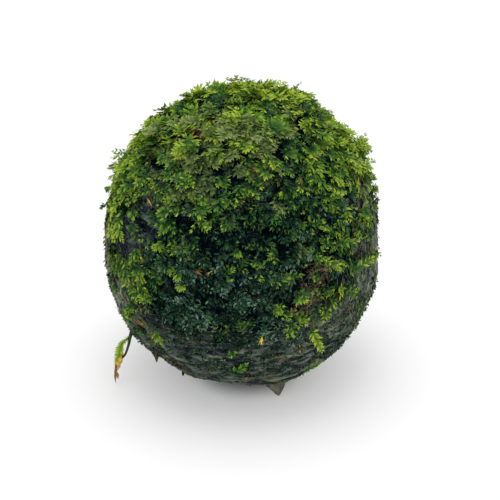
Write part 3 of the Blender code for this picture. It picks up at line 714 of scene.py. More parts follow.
def frond_set(draw, directions, length, leaf, rise, tone, row, broad=1.0):
    """The values of one frond for each direction: its root, run, size, rise, sag, bend, roll and tone."""
    count = len(directions)
    stands = np.where(draw.random(count) < 0.10, draw.uniform(1.2, 1.9, count), draw.uniform(0.3, 1.1, count))
    drift = 1.1 * soft_noise(directions * 4.2, 17) + 0.7 * soft_noise(directions * 10, 18)
    angles = drift + draw.normal(0, 0.45 + 1.4 * ease(0.80, 0.96, directions[:, 2]))
    return {
        "root": set_on(directions, -0.0002),
        "along": turned(directions, angles),
        "out": directions,
        "length": length * draw.uniform(0.75, 1.25, count),
        "leaf": leaf * draw.uniform(0.85, 1.15, count),
        "broad": np.full(count, broad),
        "rise": rise * stands,
        "sag": draw.uniform(0.05, 0.45, count),
        "bend": draw.normal(0, 0.22, count),
        "roll": draw.normal(0, 0.38, count),
        "tone": tone,
        "row": row,
    }


def side_fronds(draw, fronds, side):
    """A side frond for each frond: it leaves the stem part of the way along and is a good half as long."""
    count = len(fronds["root"])
    way = draw.uniform(0.15, 0.4, count)
    across = np.cross(fronds["out"], fronds["along"])
    opening = side * np.radians(draw.uniform(38, 62, count))
    lift = fronds["rise"] * way - fronds["sag"] * way**2
    step = fronds["along"] * way[:, None] + fronds["out"] * lift[:, None]
    return {
        **fronds,
        "root": fronds["root"] + step * fronds["length"][:, None],
        "along": fronds["along"] * np.cos(opening)[:, None] + across * np.sin(opening)[:, None],
        "length": fronds["length"] * draw.uniform(0.5, 0.72, count),
        "leaf": fronds["leaf"] * 0.86,
        "bend": -side * draw.uniform(0.0, 0.3, count),
        "tone": fronds["tone"] - 0.03,
    }


def spray_surface(draw, fronds, pairs):
    """Sprays of moss: a main frond with a side frond on either hand."""
    return joined(
        frond_surface(draw, fronds, pairs),
        frond_surface(draw, side_fronds(draw, fronds, 1), pairs - 2),
        frond_surface(draw, side_fronds(draw, fronds, -1), pairs - 2),
    )


def bed_surface(draw, growth, here, rise, size):
    """A bed of sprays, fresh, olive, blue-green and withered; some lie deep, darkened with painted shade,
    and some stand out, lightened with painted light.
    """
    olive, teal, brown, deep, bright = draw.random((5, len(here)))
    teal_share = places_sum(here, TEAL_PLACES)
    row = np.where(olive < places_sum(here, OLIVE_PLACES) + 0.05, OLIVE, FRESH)
    row = np.where((teal < teal_share) & (row == FRESH), TEAL, row)
    row = np.where(brown < 0.010, BROWN, row)
    light = moss_tone_and_light(here)
    lying_in_painted_shade = deep < 0.40 - 0.26 * ease(0.45, 0.75, light)
    painted_lit = (bright < 0.20) & ~lying_in_painted_shade
    flank = flank_share(here)
    tone = light + draw.normal(0, 0.08 + 0.08 * flank)
    # Painted shade on the sprays that lie deep and painted light on those that stand lit, both stronger on
    # the flanks
    tone = tone - (0.22 + 0.15 * flank) * lying_in_painted_shade + (0.17 + 0.19 * flank) * painted_lit
    tone = tone - 0.20 * (row == BROWN) + 0.05 * (row == TEAL)
    tone = tone - 0.08 * np.minimum(teal_share, 1) * (row == FRESH)
    rise = rise * np.where(lying_in_painted_shade | (row == BROWN), 0.1, 1.0)
    leaf = growth.leaf_length * size * (1 - 0.16 * (row == TEAL))
    fronds = frond_set(draw, here, growth.frond_length, leaf, rise, tone, row)
    tips = fronds["root"] + fronds["along"] * fronds["length"][:, None] * 0.7
    closing = np.maximum(places_sum(here, HOLLOWS), places_sum(unit(tips - CENTRE), HOLLOWS))
    kept = draw.random(len(here)) > 1.1 * closing
    return spray_surface(draw, {key: values[kept] for key, values in fronds.items()}, 5)


def felt_surface(draw, here):
    """Short fronds among the bare strands: level at the foot, longer, paler and downhill on the flanks."""
    levelness = level_share(here)
    flank = 1 - levelness
    angles = either_way(draw, len(here)) * levelness + draw.normal(0, 0.7, len(here))
    # Lighter on the ridges of the rolls, painted light, and at the pale places, partly painted sheen
    tone = 0.42 + 0.16 * rolls(here) + 0.22 * places_sum(here, PALE_AND_SHEEN_PLACES) + draw.normal(0, 0.17, len(here))
    row = np.where(draw.random(len(here)) < 0.28 + 0.5 * flank, OLIVE, TEAL)
    tone = tone - 0.14 * (row == OLIVE) + 0.16 * flank
    fronds = frond_set(draw, here, 0.0023 + 0.0008 * flank, 0.0010 + 0.0004 * flank, 0.12, tone, row)
    low = ease(-0.62, -0.78, here[:, 2])
    fronds["leaf"] = fronds["leaf"] * (1 - 0.3 * low)
    fronds.update(along=turned(here, angles), root=set_on(here, 0.0004 - 0.0004 * low))
    return frond_surface(draw, fronds, 3)


def tuft_fronds(draw, table, leaf_share, leaf_length):
    """The fronds of a table of tufts.

    A leaf is 0.36 of its tuft's length, within limits, and the rise of a tuft has a limit too. An upright
    one stands straight out of the lump.
    """
    polar, azimuth, turn, length, rise, tone = np.array(table).T
    directions = heading(polar, azimuth)
    zeros = np.zeros(len(directions))
    tufts = frond_set(draw, directions, 1.0, 1.0, 1.0, tone - 0.09, zeros, broad=0.82)
    upright = (rise == UPRIGHT)[:, None]
    highest = np.where(length < SHORT_TUFT, RISE_OF_SHORT_TUFT, RISE_OF_TUFT) / length
    front = np.stack([zeros, 0.8 * np.sign(directions[:, 1]), zeros + 0.4], axis=1)
    tufts.update(
        root=set_on(directions, TUFT_LIFT),
        along=np.where(upright, directions, turned(directions, np.radians(turn))),
        out=np.where(upright, unit(front), unit(directions + front)),
        length=1.1 * length,
        leaf=np.clip(0.36 * length, leaf_share * leaf_length, 1.1 * leaf_length),
        rise=np.minimum(rise, highest) * (rise < UPRIGHT),
    )
    if table is CLEAR_FROND:
        tufts.update(sag=zeros, bend=zeros - 0.05, roll=zeros)
    return tufts


BLADE_PLACES = (0.5, 1.0, 0.8, 0.8)


def bit_surface(draw, bits):
    """Withered bits: three long blades for each, laid over one another on the moss, a little askew."""
    polar, azimuth, turn, length, tone = np.repeat(bits, 3, axis=0).T
    count = len(polar)
    directions = unit(heading(polar, azimuth) + draw.normal(0, 0.004, (count, 3)))
    along = turned(directions, np.radians(turn) + draw.normal(0, 0.03, count))
    lean = unit(along + directions * draw.normal(0.04, 0.05, count)[:, None])
    base = set_on(directions, 0.0016) + along * (length * draw.uniform(-0.1, 0.15, count))[:, None]
    up = unit(directions + draw.normal(0, 0.25, (count, 3)))
    length = (length * draw.uniform(0.7, 1.0, count))[:, None]
    points, faces = leaf_blades(base, lean, up, length, 0.075 * length, 0.05 * length, 0.25)
    tone = tone - 0.10 + draw.normal(0, 0.14, count)
    return points, faces, leaf_plan(tone, BROWN, (-0.14, 0.04, -0.01, 0.01), BLADE_PLACES)


def level_share(directions):
    """How level the strands lie: one round the foot and in the front hollow, zero down the flanks."""
    share = ease(-0.05, -0.38, directions[..., 2]) + places_sum(directions, LEVEL_PLACES)
    return np.clip(share - 1.1 * places_sum(directions, HANGING_PLACES), 0, 1)


def either_way(draw, count):
    """A quarter turn to one side or the other, by chance."""
    return np.where(draw.random(count) < 0.5, 1.0, -1.0) * math.pi / 2


def rolls(directions):
    """Noise from -1 to 1 in wavy rolls, coarse and fine, level or down the slope as the strands lie."""
    place = warped(directions, 0.07, 6, 66)
    level, upright = (
        0.62 * soft_noise(place * np.array(size), 63) + 0.38 * soft_noise(place * np.array(size) * 2.1, 64)
        for size in ((9, 9, 36), (32, 32, 7))
    )
    share = level_share(directions)
    return 1.5 * (level * share + upright * (1 - share))


def strand_paths(draw, directions, angles, steps, stride, wander, lift):
    """Paths of strands that creep over the mat: each step follows the lump, and the heading wanders."""
    count = len(directions)
    place, ahead = directions.copy(), turned(directions, angles)
    path = np.empty((count, steps, 3))
    swerve = draw.normal(0, wander, count)
    height = lift * draw.uniform(0.2, 1.0, count)
    for step in range(steps):
        bow = np.sin(math.pi * step / (steps - 1))
        path[:, step] = set_on(place, height * bow)
        swerve = 0.7 * swerve + draw.normal(0, wander, count)
        across = np.cross(place, ahead)
        ahead = unit(ahead + across * swerve[:, None])
        place = unit(place + ahead * (stride / HALF_WIDTH)[:, None])
        ahead = unit(ahead - place * (ahead * place).sum(-1, keepdims=True))
    return path


def strand_surface(draw, directions, angles, steps, stride, radius, tone, wander, lift=0.0002, row=BROWN):
    """Matted strands: three-sided tubes along their paths, thickest in the middle and thin at both ends."""
    count = len(directions)
    stride = stride * draw.uniform(0.7, 1.3, count)
    paths = strand_paths(draw, directions, angles, steps, stride, wander, lift)
    way = np.linspace(0, 1, steps)
    taper = 0.35 + 0.65 * np.sin(math.pi * way) ** 0.6
    radii = (radius * draw.uniform(0.6, 1.4, count))[:, None] * taper
    points, faces = tubes(paths, radii, directions[:, None])
    tone = tone[:, None, None] + 0.25 * soft_noise(paths * 800, 65)[..., None] + np.array((0.0, -0.01, 0.01))
    return points, faces, palette_plan(tone, np.reshape(row, (-1, 1, 1)), way[:, None])


def hanging_flap(top, tip, half_width, half_depth, power):
    """A closed flap: ellipses strung from top to tip, whose size falls as a power of the way still to go."""
    rings, corners = FLAP_GRID
    top, tip = np.array(top), np.array(tip)
    way = np.linspace(0, 1, rings + 2)[1:-1]
    turn = np.arange(corners) * 2 * math.pi / corners
    size = (1 - way) ** power
    middle = top + (tip - top) * way[:, None]
    side = np.array((half_width, 0, 0)) * np.cos(turn)[:, None]
    fore = np.array((0, half_depth, 0)) * np.sin(turn)[:, None]
    ring = middle[:, None] + (side + fore)[None] * size[:, None, None]
    ring = ring + 0.00018 * soft_noise(ring * 900, 91)[..., None] * np.array((1, 1, 0))
    return np.concatenate([[top], ring.reshape(-1, 3), [tip]]), round_grid(rings, corners)[1]


def spaced(points, steps):
    """Points at even shares of the way along a path, and those shares."""
    points = np.array(points)
    spots = np.linspace(0, 1, len(points))
    ways = np.linspace(0, 1, steps)
    return np.stack([np.interp(ways, spots, column) for column in points.T], axis=1), ways


class Field:
    """A value that varies over a surface. Sums and products of fields add the nodes that work them out."""

    def __init__(self, paint, socket):
        self.paint, self.socket = paint, socket

    def maths(self, operation, *values):
        """A new field: what a Math node makes of the values."""
        return self.paint.add("ShaderNodeMath", {"operation": operation}, dict(enumerate(values)))

    def __add__(self, other):
        return self.maths("ADD", self, other)

    __radd__ = __add__

    def __sub__(self, other):
        return self.maths("SUBTRACT", self, other)

    def __rsub__(self, other):
        return self.maths("SUBTRACT", other, self)

    def __mul__(self, other):
        return self.maths("MULTIPLY", self, other)

    __rmul__ = __mul__

    def fraction(self):
        """What is left over the whole number."""
        return self.maths("FRACT", self)

    def eased(self, low, high):
        """Zero below low and one above high, with an S-curve between them."""
        values = {"Value": self, "From Min": low, "From Max": high}
        return self.paint.add("ShaderNodeMapRange", {"interpolation_type": "SMOOTHSTEP"}, values)


class Paint:
    """One finish being mixed: it adds nodes to a new material and joins them up."""

    def __init__(self, name, **constants):
        self.material = bpy.data.materials.new(name)
        self.material.use_nodes = True
        self.tree = self.material.node_tree
        self.shader = self.tree.nodes["Principled BSDF"]
        self.feed(**constants)

    def join(self, socket, value):
        """Links a field to a socket, or sets the socket to a plain value."""
        if isinstance(value, Field):
            self.tree.links.new(value.socket, socket)
        else:
            socket.default_value = value

    def feed(self, **inputs):
        """Joins values to the shader's inputs, whose names have _ for a space here."""
        for socket, value in inputs.items():
            self.join(self.shader.inputs[socket.replace("_", " ")], value)
        return self.material

    def add(self, kind, settings=None, inputs=None, output=0):
        """One node: its settings come first, then the values or links of its sockets."""
        node = self.tree.nodes.new(kind)
        for name, value in (settings or {}).items():
            if name == "stops":
                ramp = node.color_ramp
                while len(ramp.elements) < len(value):
                    ramp.elements.new(1.0)
                for element, (place, colour) in zip(ramp.elements, value):
                    element.position, element.color = place, (*colour, 1.0)
            else:
                setattr(node, name, value)
        for name, value in (inputs or {}).items():
            self.join(node.inputs[name], value)
        return Field(self, node.outputs[output])

    def ramp(self, value, *stops):
        """The colour that a value picks out of a ramp, whose stops are each a place and a colour."""
        return self.add("ShaderNodeValToRGB", {"stops": stops}, {0: value})

    def mix(self, factor, first, second, blend="MIX"):
        """Two colours mixed by a factor."""
        first, second = (c if isinstance(c, Field) else (*c, 1.0) for c in (first, second))
        settings = {"data_type": "RGBA", "blend_type": blend}
        return self.add("ShaderNodeMix", settings, {0: factor, 6: first, 7: second}, output=2)

    def by_row(self, rows, colour, *others):
        """The colour of the plan's row: the first one in row 0, then one for each further row."""
        for row, other in enumerate(others, 1):
            colour = self.mix(rows.eased(row - 0.02, row + 0.02), colour, other)
        return colour

    def place(self):
        """The place on the piece's own coordinates."""
        return self.add("ShaderNodeTexCoord", output=3)

    def noise(self, scale, detail=4.0, stretch=(1, 1, 1)):
        """Noise on the piece's own coordinates, stretched along its axes."""
        place = self.add("ShaderNodeVectorMath", {"operation": "MULTIPLY"}, {0: self.place(), 1: stretch})
        return self.add("ShaderNodeTexNoise", None, {"Vector": place, "Scale": scale, "Detail": detail})

    def bump(self, height, strength, distance):
        """A normal that follows a height."""
        values = {"Height": height, "Strength": strength, "Distance": distance}
        return self.add("ShaderNodeBump", None, values)

    def plan(self):
        """The two numbers of the piece's own plan: tone across, and row and place up, counted in rows."""
        spot = self.add("ShaderNodeUVMap", {"uv_map": "OFBake"})
        tone, up = (self.add("ShaderNodeSeparateXYZ", None, {0: spot}, axis) for axis in (0, 1))
        return tone, up * COLOUR_ROWS


def leaf_finish(looks):
    """Wet leaves: a table of colours, fresh green, greyish olive, withered brown and the blue-green of deep
    shade, each from dark to light; the palest blue-greens are painted wet glints. Each leaf is darkened
    towards its base with painted shade and lightened towards its tip with painted light. About one dark
    leaf in ten has a wet coat.
    """
    paint = Paint("wet_leaves", Specular_IOR_Level=0.0, Coat_Roughness=0.16, Coat_IOR=1.8)
    tone, rows = paint.plan()
    place = rows.fraction()
    deeps = (0.02, looks.shade), (0.22, looks.deep), (0.45, looks.leaf)
    fresh = paint.ramp(tone, *deeps, (0.70, looks.fresh), (1.0, looks.young))
    browns = (0.0, WITHERED_DARK), (0.6, looks.withered), (0.90, WITHERED_GOLD), (1.0, WITHERED_YELLOW)
    # The pale end of the blue-green ramp is painted wet glint
    teals = (0.02, looks.shade), (0.32, looks.deep), (0.68, looks.teal)
    teal = paint.ramp(tone, *teals, (0.86, TEAL_PAINTED_SHEEN), (1.0, looks.painted_glint))
    olive = paint.ramp(tone, (0.0, OLIVE_DARK), (0.5, looks.olive), (1.0, OLIVE_LIGHT))
    colour = paint.by_row(rows, fresh, olive, paint.ramp(tone, *browns), teal)
    # Painted shade at each leaf's base and painted light at its tip
    colour = paint.mix(1.0, colour, paint.mix(place, LEAF_BASE_PAINTED_SHADE, LEAF_TIP_PAINTED_LIGHT), "MULTIPLY")
    coat = (tone * 41.7).fraction().eased(0.86, 0.97) * tone.eased(0.62, 0.44)
    return paint.feed(Base_Color=colour, Roughness=0.62 - 0.16 * place, Coat_Weight=coat)


def strand_finish(looks):
    """Wet matted strands, dark to pale: blue-black to grey-green, brown to olive, and dead brown."""
    paint = Paint("wet_strands", Specular_IOR_Level=0.04)
    tone, rows = paint.plan()
    darks = (0.0, looks.hollow_shade), (0.25, looks.felt)
    green = paint.ramp(tone, *darks, (0.60, looks.strand), (1.0, looks.strand_light))
    olive = paint.ramp(tone, (0.0, looks.hollow_shade), (0.5, looks.mat_brown), (1.0, looks.mat_olive))
    brown = paint.ramp(tone, (0.0, DEAD_DARK), (0.5, DEAD_BROWN), (1.0, DEAD_LIGHT))
    return paint.feed(Base_Color=paint.by_row(rows, green, olive, brown), Roughness=0.40)


def mat_finish(looks):
    """The old mat: black felt under leaves, a painted shade between the fronds; where bare, grey-green rolls
    with brown drifts, painted light on their ridges and painted blue-black shade in their hollows.
    """
    paint = Paint("old_mat", Specular_IOR_Level=0.0)
    names = ({"attribute_name": name} for name in ("bare", "ridge", "level"))
    bare, ridge, level = (paint.add("ShaderNodeAttribute", name, output=2) for name in names)
    lying, hanging = paint.noise(520, 6.0, (0.30, 0.30, 1.9)), paint.noise(520, 6.0, (1.7, 1.7, 0.28))
    fibres = lying * level + hanging * (1 - level)
    drifts = paint.noise(85)
    # Colour by height: painted light on the ridges and fibres, and painted blue-black shade in the hollows
    # between them
    height = 0.26 * ridge + 1.7 * (fibres - 0.5) + 0.50
    felt = paint.ramp(height, (0.26, looks.hollow_shade), (0.54, looks.felt), (0.95, looks.lit_ridge_mat))
    brown = paint.ramp(height, (0.26, looks.hollow_shade), (0.54, looks.mat_brown), (0.95, looks.mat_olive))
    felt = paint.mix(drifts.eased(0.52, 0.64), felt, brown)
    colour = paint.mix(bare.eased(0.20, 0.80), looks.mat, felt)
    relief = paint.bump(fibres + 0.4 * paint.noise(1300, 3.0), 0.9, 0.0006)
    return paint.feed(Base_Color=colour, Roughness=0.45 + 0.25 * drifts, Normal=relief)


def stone_finish(looks):
    """Wet lava rock: near black, with a brown cast and a grey bloom, and small gas pits all over."""
    paint = Paint("wet_lava", Specular_IOR_Level=0.12)
    cloud, grain = paint.noise(120, 5.0), paint.noise(900, 5.0)
    pits = paint.add("ShaderNodeTexVoronoi", {"feature": "F1"}, {"Vector": paint.place(), "Scale": 620.0})
    colour = paint.mix(cloud.eased(0.40, 0.66), looks.stone, looks.stone_brown)
    colour = paint.mix(grain.eased(0.55, 0.75) * 0.4, colour, STONE_BLOOM)
    relief = paint.bump(pits.eased(0.1, 0.5) + 0.6 * grain, 0.8, 0.0005)
    return paint.feed(Base_Color=colour, Roughness=0.30 + 0.3 * cloud, Normal=relief)


def wet_flap_finish(looks):
    """A wet flap of moss: brownish olive, with fine darker streaks down it."""
    paint = Paint("wet_flap", Specular_IOR_Level=0.6)
    streaks = paint.noise(700, 6.0, (1.6, 1.6, 0.7))
    colour = paint.mix(streaks.eased(0.36, 0.66), looks.flap, FLAP_STREAK)
    relief = paint.bump(streaks, 0.6, 0.0004)
    return paint.feed(Base_Color=colour, Roughness=0.28 + 0.2 * streaks, Normal=relief)


def new_object(name, points, faces, finish, smooth=True):
    """A mesh of triangles at the origin, linked into the scene."""
    mesh = bpy.data.meshes.new(name)
    mesh.vertices.add(len(points))
    mesh.vertices.foreach_set("co", np.asarray(points, np.float32).ravel())
    mesh.loops.add(faces.size)
    mesh.loops.foreach_set("vertex_index", np.asarray(faces, np.int32).ravel())
    mesh.polygons.add(len(faces))
    mesh.polygons.foreach_set("loop_start", np.arange(0, faces.size, 3, dtype=np.int32))
    mesh.polygons.foreach_set("use_smooth", np.full(len(faces), smooth))
    mesh.update(calc_edges=True)
    if mesh.validate():
        raise RuntimeError(f"{name} has faces that don't hold")
    mesh.materials.append(finish)
    obj = bpy.data.objects.new(name, mesh)
    bpy.context.scene.collection.objects.link(obj)
    return obj


def add_piece(name, surface, finish, slot="java_moss", stands_for=(), smooth=False, **values):
    """Puts a surface into an object that rides on the root body.

    surface is points, triangles and, if the finish reads a table of colours, each point's place on it.
    values are named numbers that the finish reads.
    """
    points, faces, *plan = surface
    obj = new_object(name, points, faces, finish, smooth)
    for places in plan:
        layer = obj.data.uv_layers.new(name="OFBake")
        layer.uv.foreach_set("vector", np.asarray(places, np.float32)[faces.ravel()].ravel())
    for key, numbers in values.items():
        attribute = obj.data.attributes.new(key, "FLOAT", "POINT")
        attribute.data.foreach_set("value", np.asarray(numbers, np.float32))
    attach(obj, "root")
    if stands_for:
        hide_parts(*stands_for)


def colour_property(name, description, default):
    """A colour that a user can change."""
    return bpy.props.FloatVectorProperty(
        name=name, description=description, default=default, subtype="COLOR", size=3, min=0.0, max=1.0
    )


def number_property(name, description, default, **options):
    """A number that a user can change."""
    return bpy.props.FloatProperty(name=name, description=description, default=default, **options)


def count_property(name, description, default):
    """A count that a user can change."""
    return bpy.props.IntProperty(name=name, description=description, default=default, min=10)


class MOSS_PG_looks(bpy.types.PropertyGroup):
    """Colours of the stone and the moss."""

    shade: colour_property("Shade green", "Leaves deep in the coat", (0.0016, 0.0072, 0.0060))
    deep: colour_property("Deep green", "Old leaves", (0.0088, 0.0335, 0.0155))
    leaf: colour_property("Leaf green", "Grown leaves", (0.034, 0.104, 0.022))
    fresh: colour_property("Fresh green", "Leaves of this season", (0.128, 0.240, 0.026))
    young: colour_property("Young green", "The youngest tips", (0.360, 0.480, 0.050))
    olive: colour_property("Olive", "Fronds that have gone grey", (0.074, 0.118, 0.030))
    teal: colour_property("Blue green", "Leaves in the wet shade of the middle", (0.030, 0.078, 0.040))
    # Painted highlight: pale tips that stand for the wet glints on the blue-green leaves
    painted_glint: colour_property("Silver green", "Their pale tips", (0.160, 0.255, 0.175))
    withered: colour_property("Withered", "Dead leaves and strands", (0.110, 0.070, 0.028))
    strand: colour_property("Strand", "Matted strands", (0.122, 0.148, 0.104))
    strand_light: colour_property("Light strand", "The palest strands", (0.370, 0.400, 0.300))
    # Painted shade: the near-black mat under the leaves stands for the shade between the fronds
    mat: colour_property("Mat", "The old mat under the leaves", (0.0020, 0.0050, 0.0090))
    # Painted shade in the hollows of the bare felt and at the dark end of the strands
    hollow_shade: colour_property("Hollow", "Blue-black hollows of the bare felt", (0.0130, 0.0170, 0.0330))
    felt: colour_property("Felt", "Grey-green felt between strands", (0.0740, 0.0980, 0.0860))
    mat_brown: colour_property("Brown mat", "Brown drifts in the felt", (0.100, 0.096, 0.058))
    mat_olive: colour_property("Olive mat", "Where the brown felt is thick", (0.200, 0.200, 0.105))
    # Painted light on the ridges of the bare mat
    lit_ridge_mat: colour_property("Light mat", "Pale rolls where the mat is bare", (0.185, 0.210, 0.140))
    flap: colour_property("Wet flap", "The tag of moss at the foot", (0.125, 0.118, 0.062))
    stone: colour_property("Stone", "Wet lava rock", (0.0050, 0.0065, 0.0105))
    stone_brown: colour_property("Brown stone", "Its brown cast", (0.007, 0.008, 0.010))


class MOSS_PG_growth(bpy.types.PropertyGroup):
    """Sizes and numbers of the moss."""

    frond_length: number_property("Frond length", "Length of a main frond", 0.0044, unit="LENGTH", min=0.001)
    leaf_length: number_property("Leaf length", "Length of one leaf", 0.00185, unit="LENGTH", min=0.0002)
    sprays: count_property("Sprays", "Sprays tried over the whole lump, before the bare places", 7400)
    strands: count_property("Strands", "Matted strands tried", 9500)
    felt_fronds: count_property("Short fronds", "Short fronds tried among the bare strands", 9500)
    strand_radius: number_property(
        "Strand radius", "Thickest radius of a strand", 0.00016, unit="LENGTH", min=1e-5
    )


class MOSS_PG_studio(bpy.types.PropertyGroup):
    """The studio."""

    elevation: number_property(
        "Elevation", "Camera's angle over the floor", math.radians(25), subtype="ANGLE"
    )
    distance: number_property("Distance", "Camera to the middle of the lump", 0.30, unit="LENGTH", min=0.05)
    view_width: number_property(
        "View width", "What the picture spans at that distance", 0.14375, unit="LENGTH"
    )
    key_power: number_property("Key light", "Soft light overhead", 1.0, subtype="POWER", min=0.0)
    sky: number_property("Sky", "Strength of the white surroundings", 1.02, min=0.0)
    floor: colour_property("Floor", "The pale floor", (0.71, 0.71, 0.71))
    # Painted light: the floor glows to lighten its own shadows
    painted_glow: number_property("Floor glow", "Light that the floor gives", 0.25, min=0.0)


class MOSS_OT_stone(bpy.types.Operator):
    """Builds the lava rock with its crags and gas pits, flat where it stands"""

    bl_idname = "moss.stone"
    bl_label = "Lava rock"

    def execute(self, context):
        directions, faces = round_grid(*STONE_GRID)
        rough = 0.0004 * soft_noise(directions * 16, 41) + 0.0002 * soft_noise(directions * 42, 42)
        pits = ease(0.30, 0.62, soft_noise(directions * 21, 43)) * 0.0012
        pits = pits + ease(0.35, 0.60, soft_noise(directions * 48, 44)) * 0.0005
        points = CENTRE + directions * (stone_distance(directions) + rough - pits)[:, None]
        points[:, 2] = np.maximum(points[:, 2], 0.0)
        finish = stone_finish(context.scene.moss_looks)
        add_piece("lava_stone", (points, faces), finish, "lava_stone", ("lava_rock",), smooth=True)
        return {"FINISHED"}


class MOSS_OT_mat(bpy.types.Operator):
    """Builds the felted mat of old moss, sunk under the stone's surface in the gaps"""

    bl_idname = "moss.mat"
    bl_label = "Felted mat"

    def execute(self, context):
        directions, faces = round_grid(*MAT_GRID)
        leafy = shaggy(directions)
        ridge = rolls(directions)
        ridges = 0.00060 * (1 - leafy) * ridge + 0.00024 * soft_noise(directions * 34, 52)
        ridges = ridges + 0.00016 * (1 - leafy) * soft_noise(directions * 90, 53)
        points = set_on(directions, ridges - 0.0003 * leafy - GAP_DEPTH * gap_share(directions))
        # The pale places raise the painted light of the ridges
        ridge = ridge + 0.9 * places_sum(directions, PALE_AND_SHEEN_PLACES)
        numbers = {"bare": 1 - leafy, "ridge": ridge, "level": level_share(directions)}
        finish = mat_finish(context.scene.moss_looks)
        add_piece("moss_mat", (points, faces), finish, stands_for=("moss_coat",), smooth=True, **numbers)
        return {"FINISHED"}


class MOSS_OT_strands(bpy.types.Operator):
    """Lays the matted strands: level round the foot, down the bare flanks, and a few among the leaves"""

    bl_idname = "moss.strands"
    bl_label = "Matted strands"

    def execute(self, context):
        growth = context.scene.moss_growth
        draw = np.random.default_rng(STRAND_SEED)
        directions = scattered(draw, growth.strands, strand_chance)
        levelness = level_share(directions)
        foot = ease(-0.25, -0.5, directions[:, 2]) * levelness
        angles = either_way(draw, len(directions)) * levelness + 0.35 * soft_noise(directions * 6, 62)
        angles = angles + draw.normal(0, 0.22 + 0.32 * foot)
        # Painted light and shade: strands are lighter on the ridges of the rolls and at the pale places,
        # partly painted sheen, and darker at the foot and among the leaves
        tone = 0.36 + 0.45 * places_sum(directions, PALE_AND_SHEEN_PLACES) + 0.26 * rolls(directions) - 0.11 * foot
        tone = tone + draw.normal(0, 0.23 - 0.05 * foot) - 0.3 * shaggy(directions)
        olive = soft_noise(directions * 5, 69) + draw.normal(0, 0.25, len(directions))
        row = np.where(olive > 0.25, OLIVE, FRESH)
        row = np.where(places_sum(directions, BROWN_PLACES) > 0.5 + 0.5 * olive, BROWN, row)
        stride, radius = 0.0010 - 0.0006 * foot, growth.strand_radius * (1 - 0.42 * foot)
        wander = 0.12 + 0.10 * foot
        parts = [strand_surface(draw, directions, angles, 6, stride, radius, tone, wander, row=row)]
        for polar, azimuth, spread in FUZZY_PLACES:
            stray = draw.normal(0, math.radians(1.5 * spread), (FUZZ_STRANDS, 3))
            near = unit(heading(polar, azimuth) + stray)
            wild = draw.uniform(-math.pi, math.pi, FUZZ_STRANDS)
            dead = draw.uniform(0.30, 1.0, FUZZ_STRANDS)
            parts.append(strand_surface(draw, near, wild, 4, FUZZ_STRIDE, FUZZ_RADIUS, dead, 0.5, FUZZ_LIFT))
        finish = strand_finish(context.scene.moss_looks)
        add_piece("matted_strands", joined(*parts), finish, smooth=True)
        return {"FINISHED"}


class MOSS_OT_fronds(bpy.types.Operator):
    """Grows the leafy sprays in beds from the crown to the foot, and short fronds among the bare strands"""

    bl_idname = "moss.fronds"
    bl_label = "Leafy fronds"

    def execute(self, context):
        growth = context.scene.moss_growth
        draw = np.random.default_rng(FROND_SEED)
        finish = leaf_finish(context.scene.moss_looks)
        directions = scattered(draw, growth.sprays, leaf_chance)
        height = directions[:, 2]
        highest = np.inf
        for name, lowest, rise, size in FROND_BEDS:
            here = directions[(height > lowest) & (height <= highest)]
            add_piece(name, bed_surface(draw, growth, here, rise, size), finish)
            highest = lowest
        here = scattered(draw, growth.felt_fronds, felt_chance)
        add_piece("felt_fronds", felt_surface(draw, here), finish)
        return {"FINISHED"}


class MOSS_OT_tufts(bpy.types.Operator):
    """Adds the bright young tufts and the withered bits at their own places"""

    bl_idname = "moss.tufts"
    bl_label = "Young tufts and withered bits"

    def execute(self, context):
        leaf_length = context.scene.moss_growth.leaf_length
        draw = np.random.default_rng(TUFT_SEED)
        finish = bpy.data.materials["wet_leaves"]
        parts = []
        for table, surface, pairs, leaf_share in (
            (SPRAY_TUFTS, spray_surface, 5, 0.84),
            (FROND_TUFTS, frond_surface, 8, 0.70),
            (CLEAR_FROND, frond_surface, 13, 0.74),
        ):
            parts.append(surface(draw, tuft_fronds(draw, table, leaf_share, leaf_length), pairs))
        add_piece("young_tufts", joined(*parts), finish)
        add_piece("withered_bits", bit_surface(draw, np.array(WITHERED_BITS)), finish)
        return {"FINISHED"}


class MOSS_OT_foot_tags(bpy.types.Operator):
    """Hangs the wet flap, the dark barb and the brown tag under the front edge"""

    bl_idname = "moss.foot_tags"
    bl_label = "Wet flap and barb"

    def execute(self, context):
        finish = wet_flap_finish(context.scene.moss_looks)
        add_piece("wet_flap", hanging_flap(*WET_FLAP), finish, smooth=True)
        add_piece("foot_barb", hanging_flap(*FOOT_BARB), bpy.data.materials["old_mat"], smooth=True)
        points, faces = hanging_flap(*BROWN_TAG)
        way = np.linspace(0.38, 0.70, len(points))
        surface = points, faces, palette_plan(way, BROWN, way)
        add_piece("brown_tag", surface, bpy.data.materials["wet_leaves"], smooth=True)
        return {"FINISHED"}


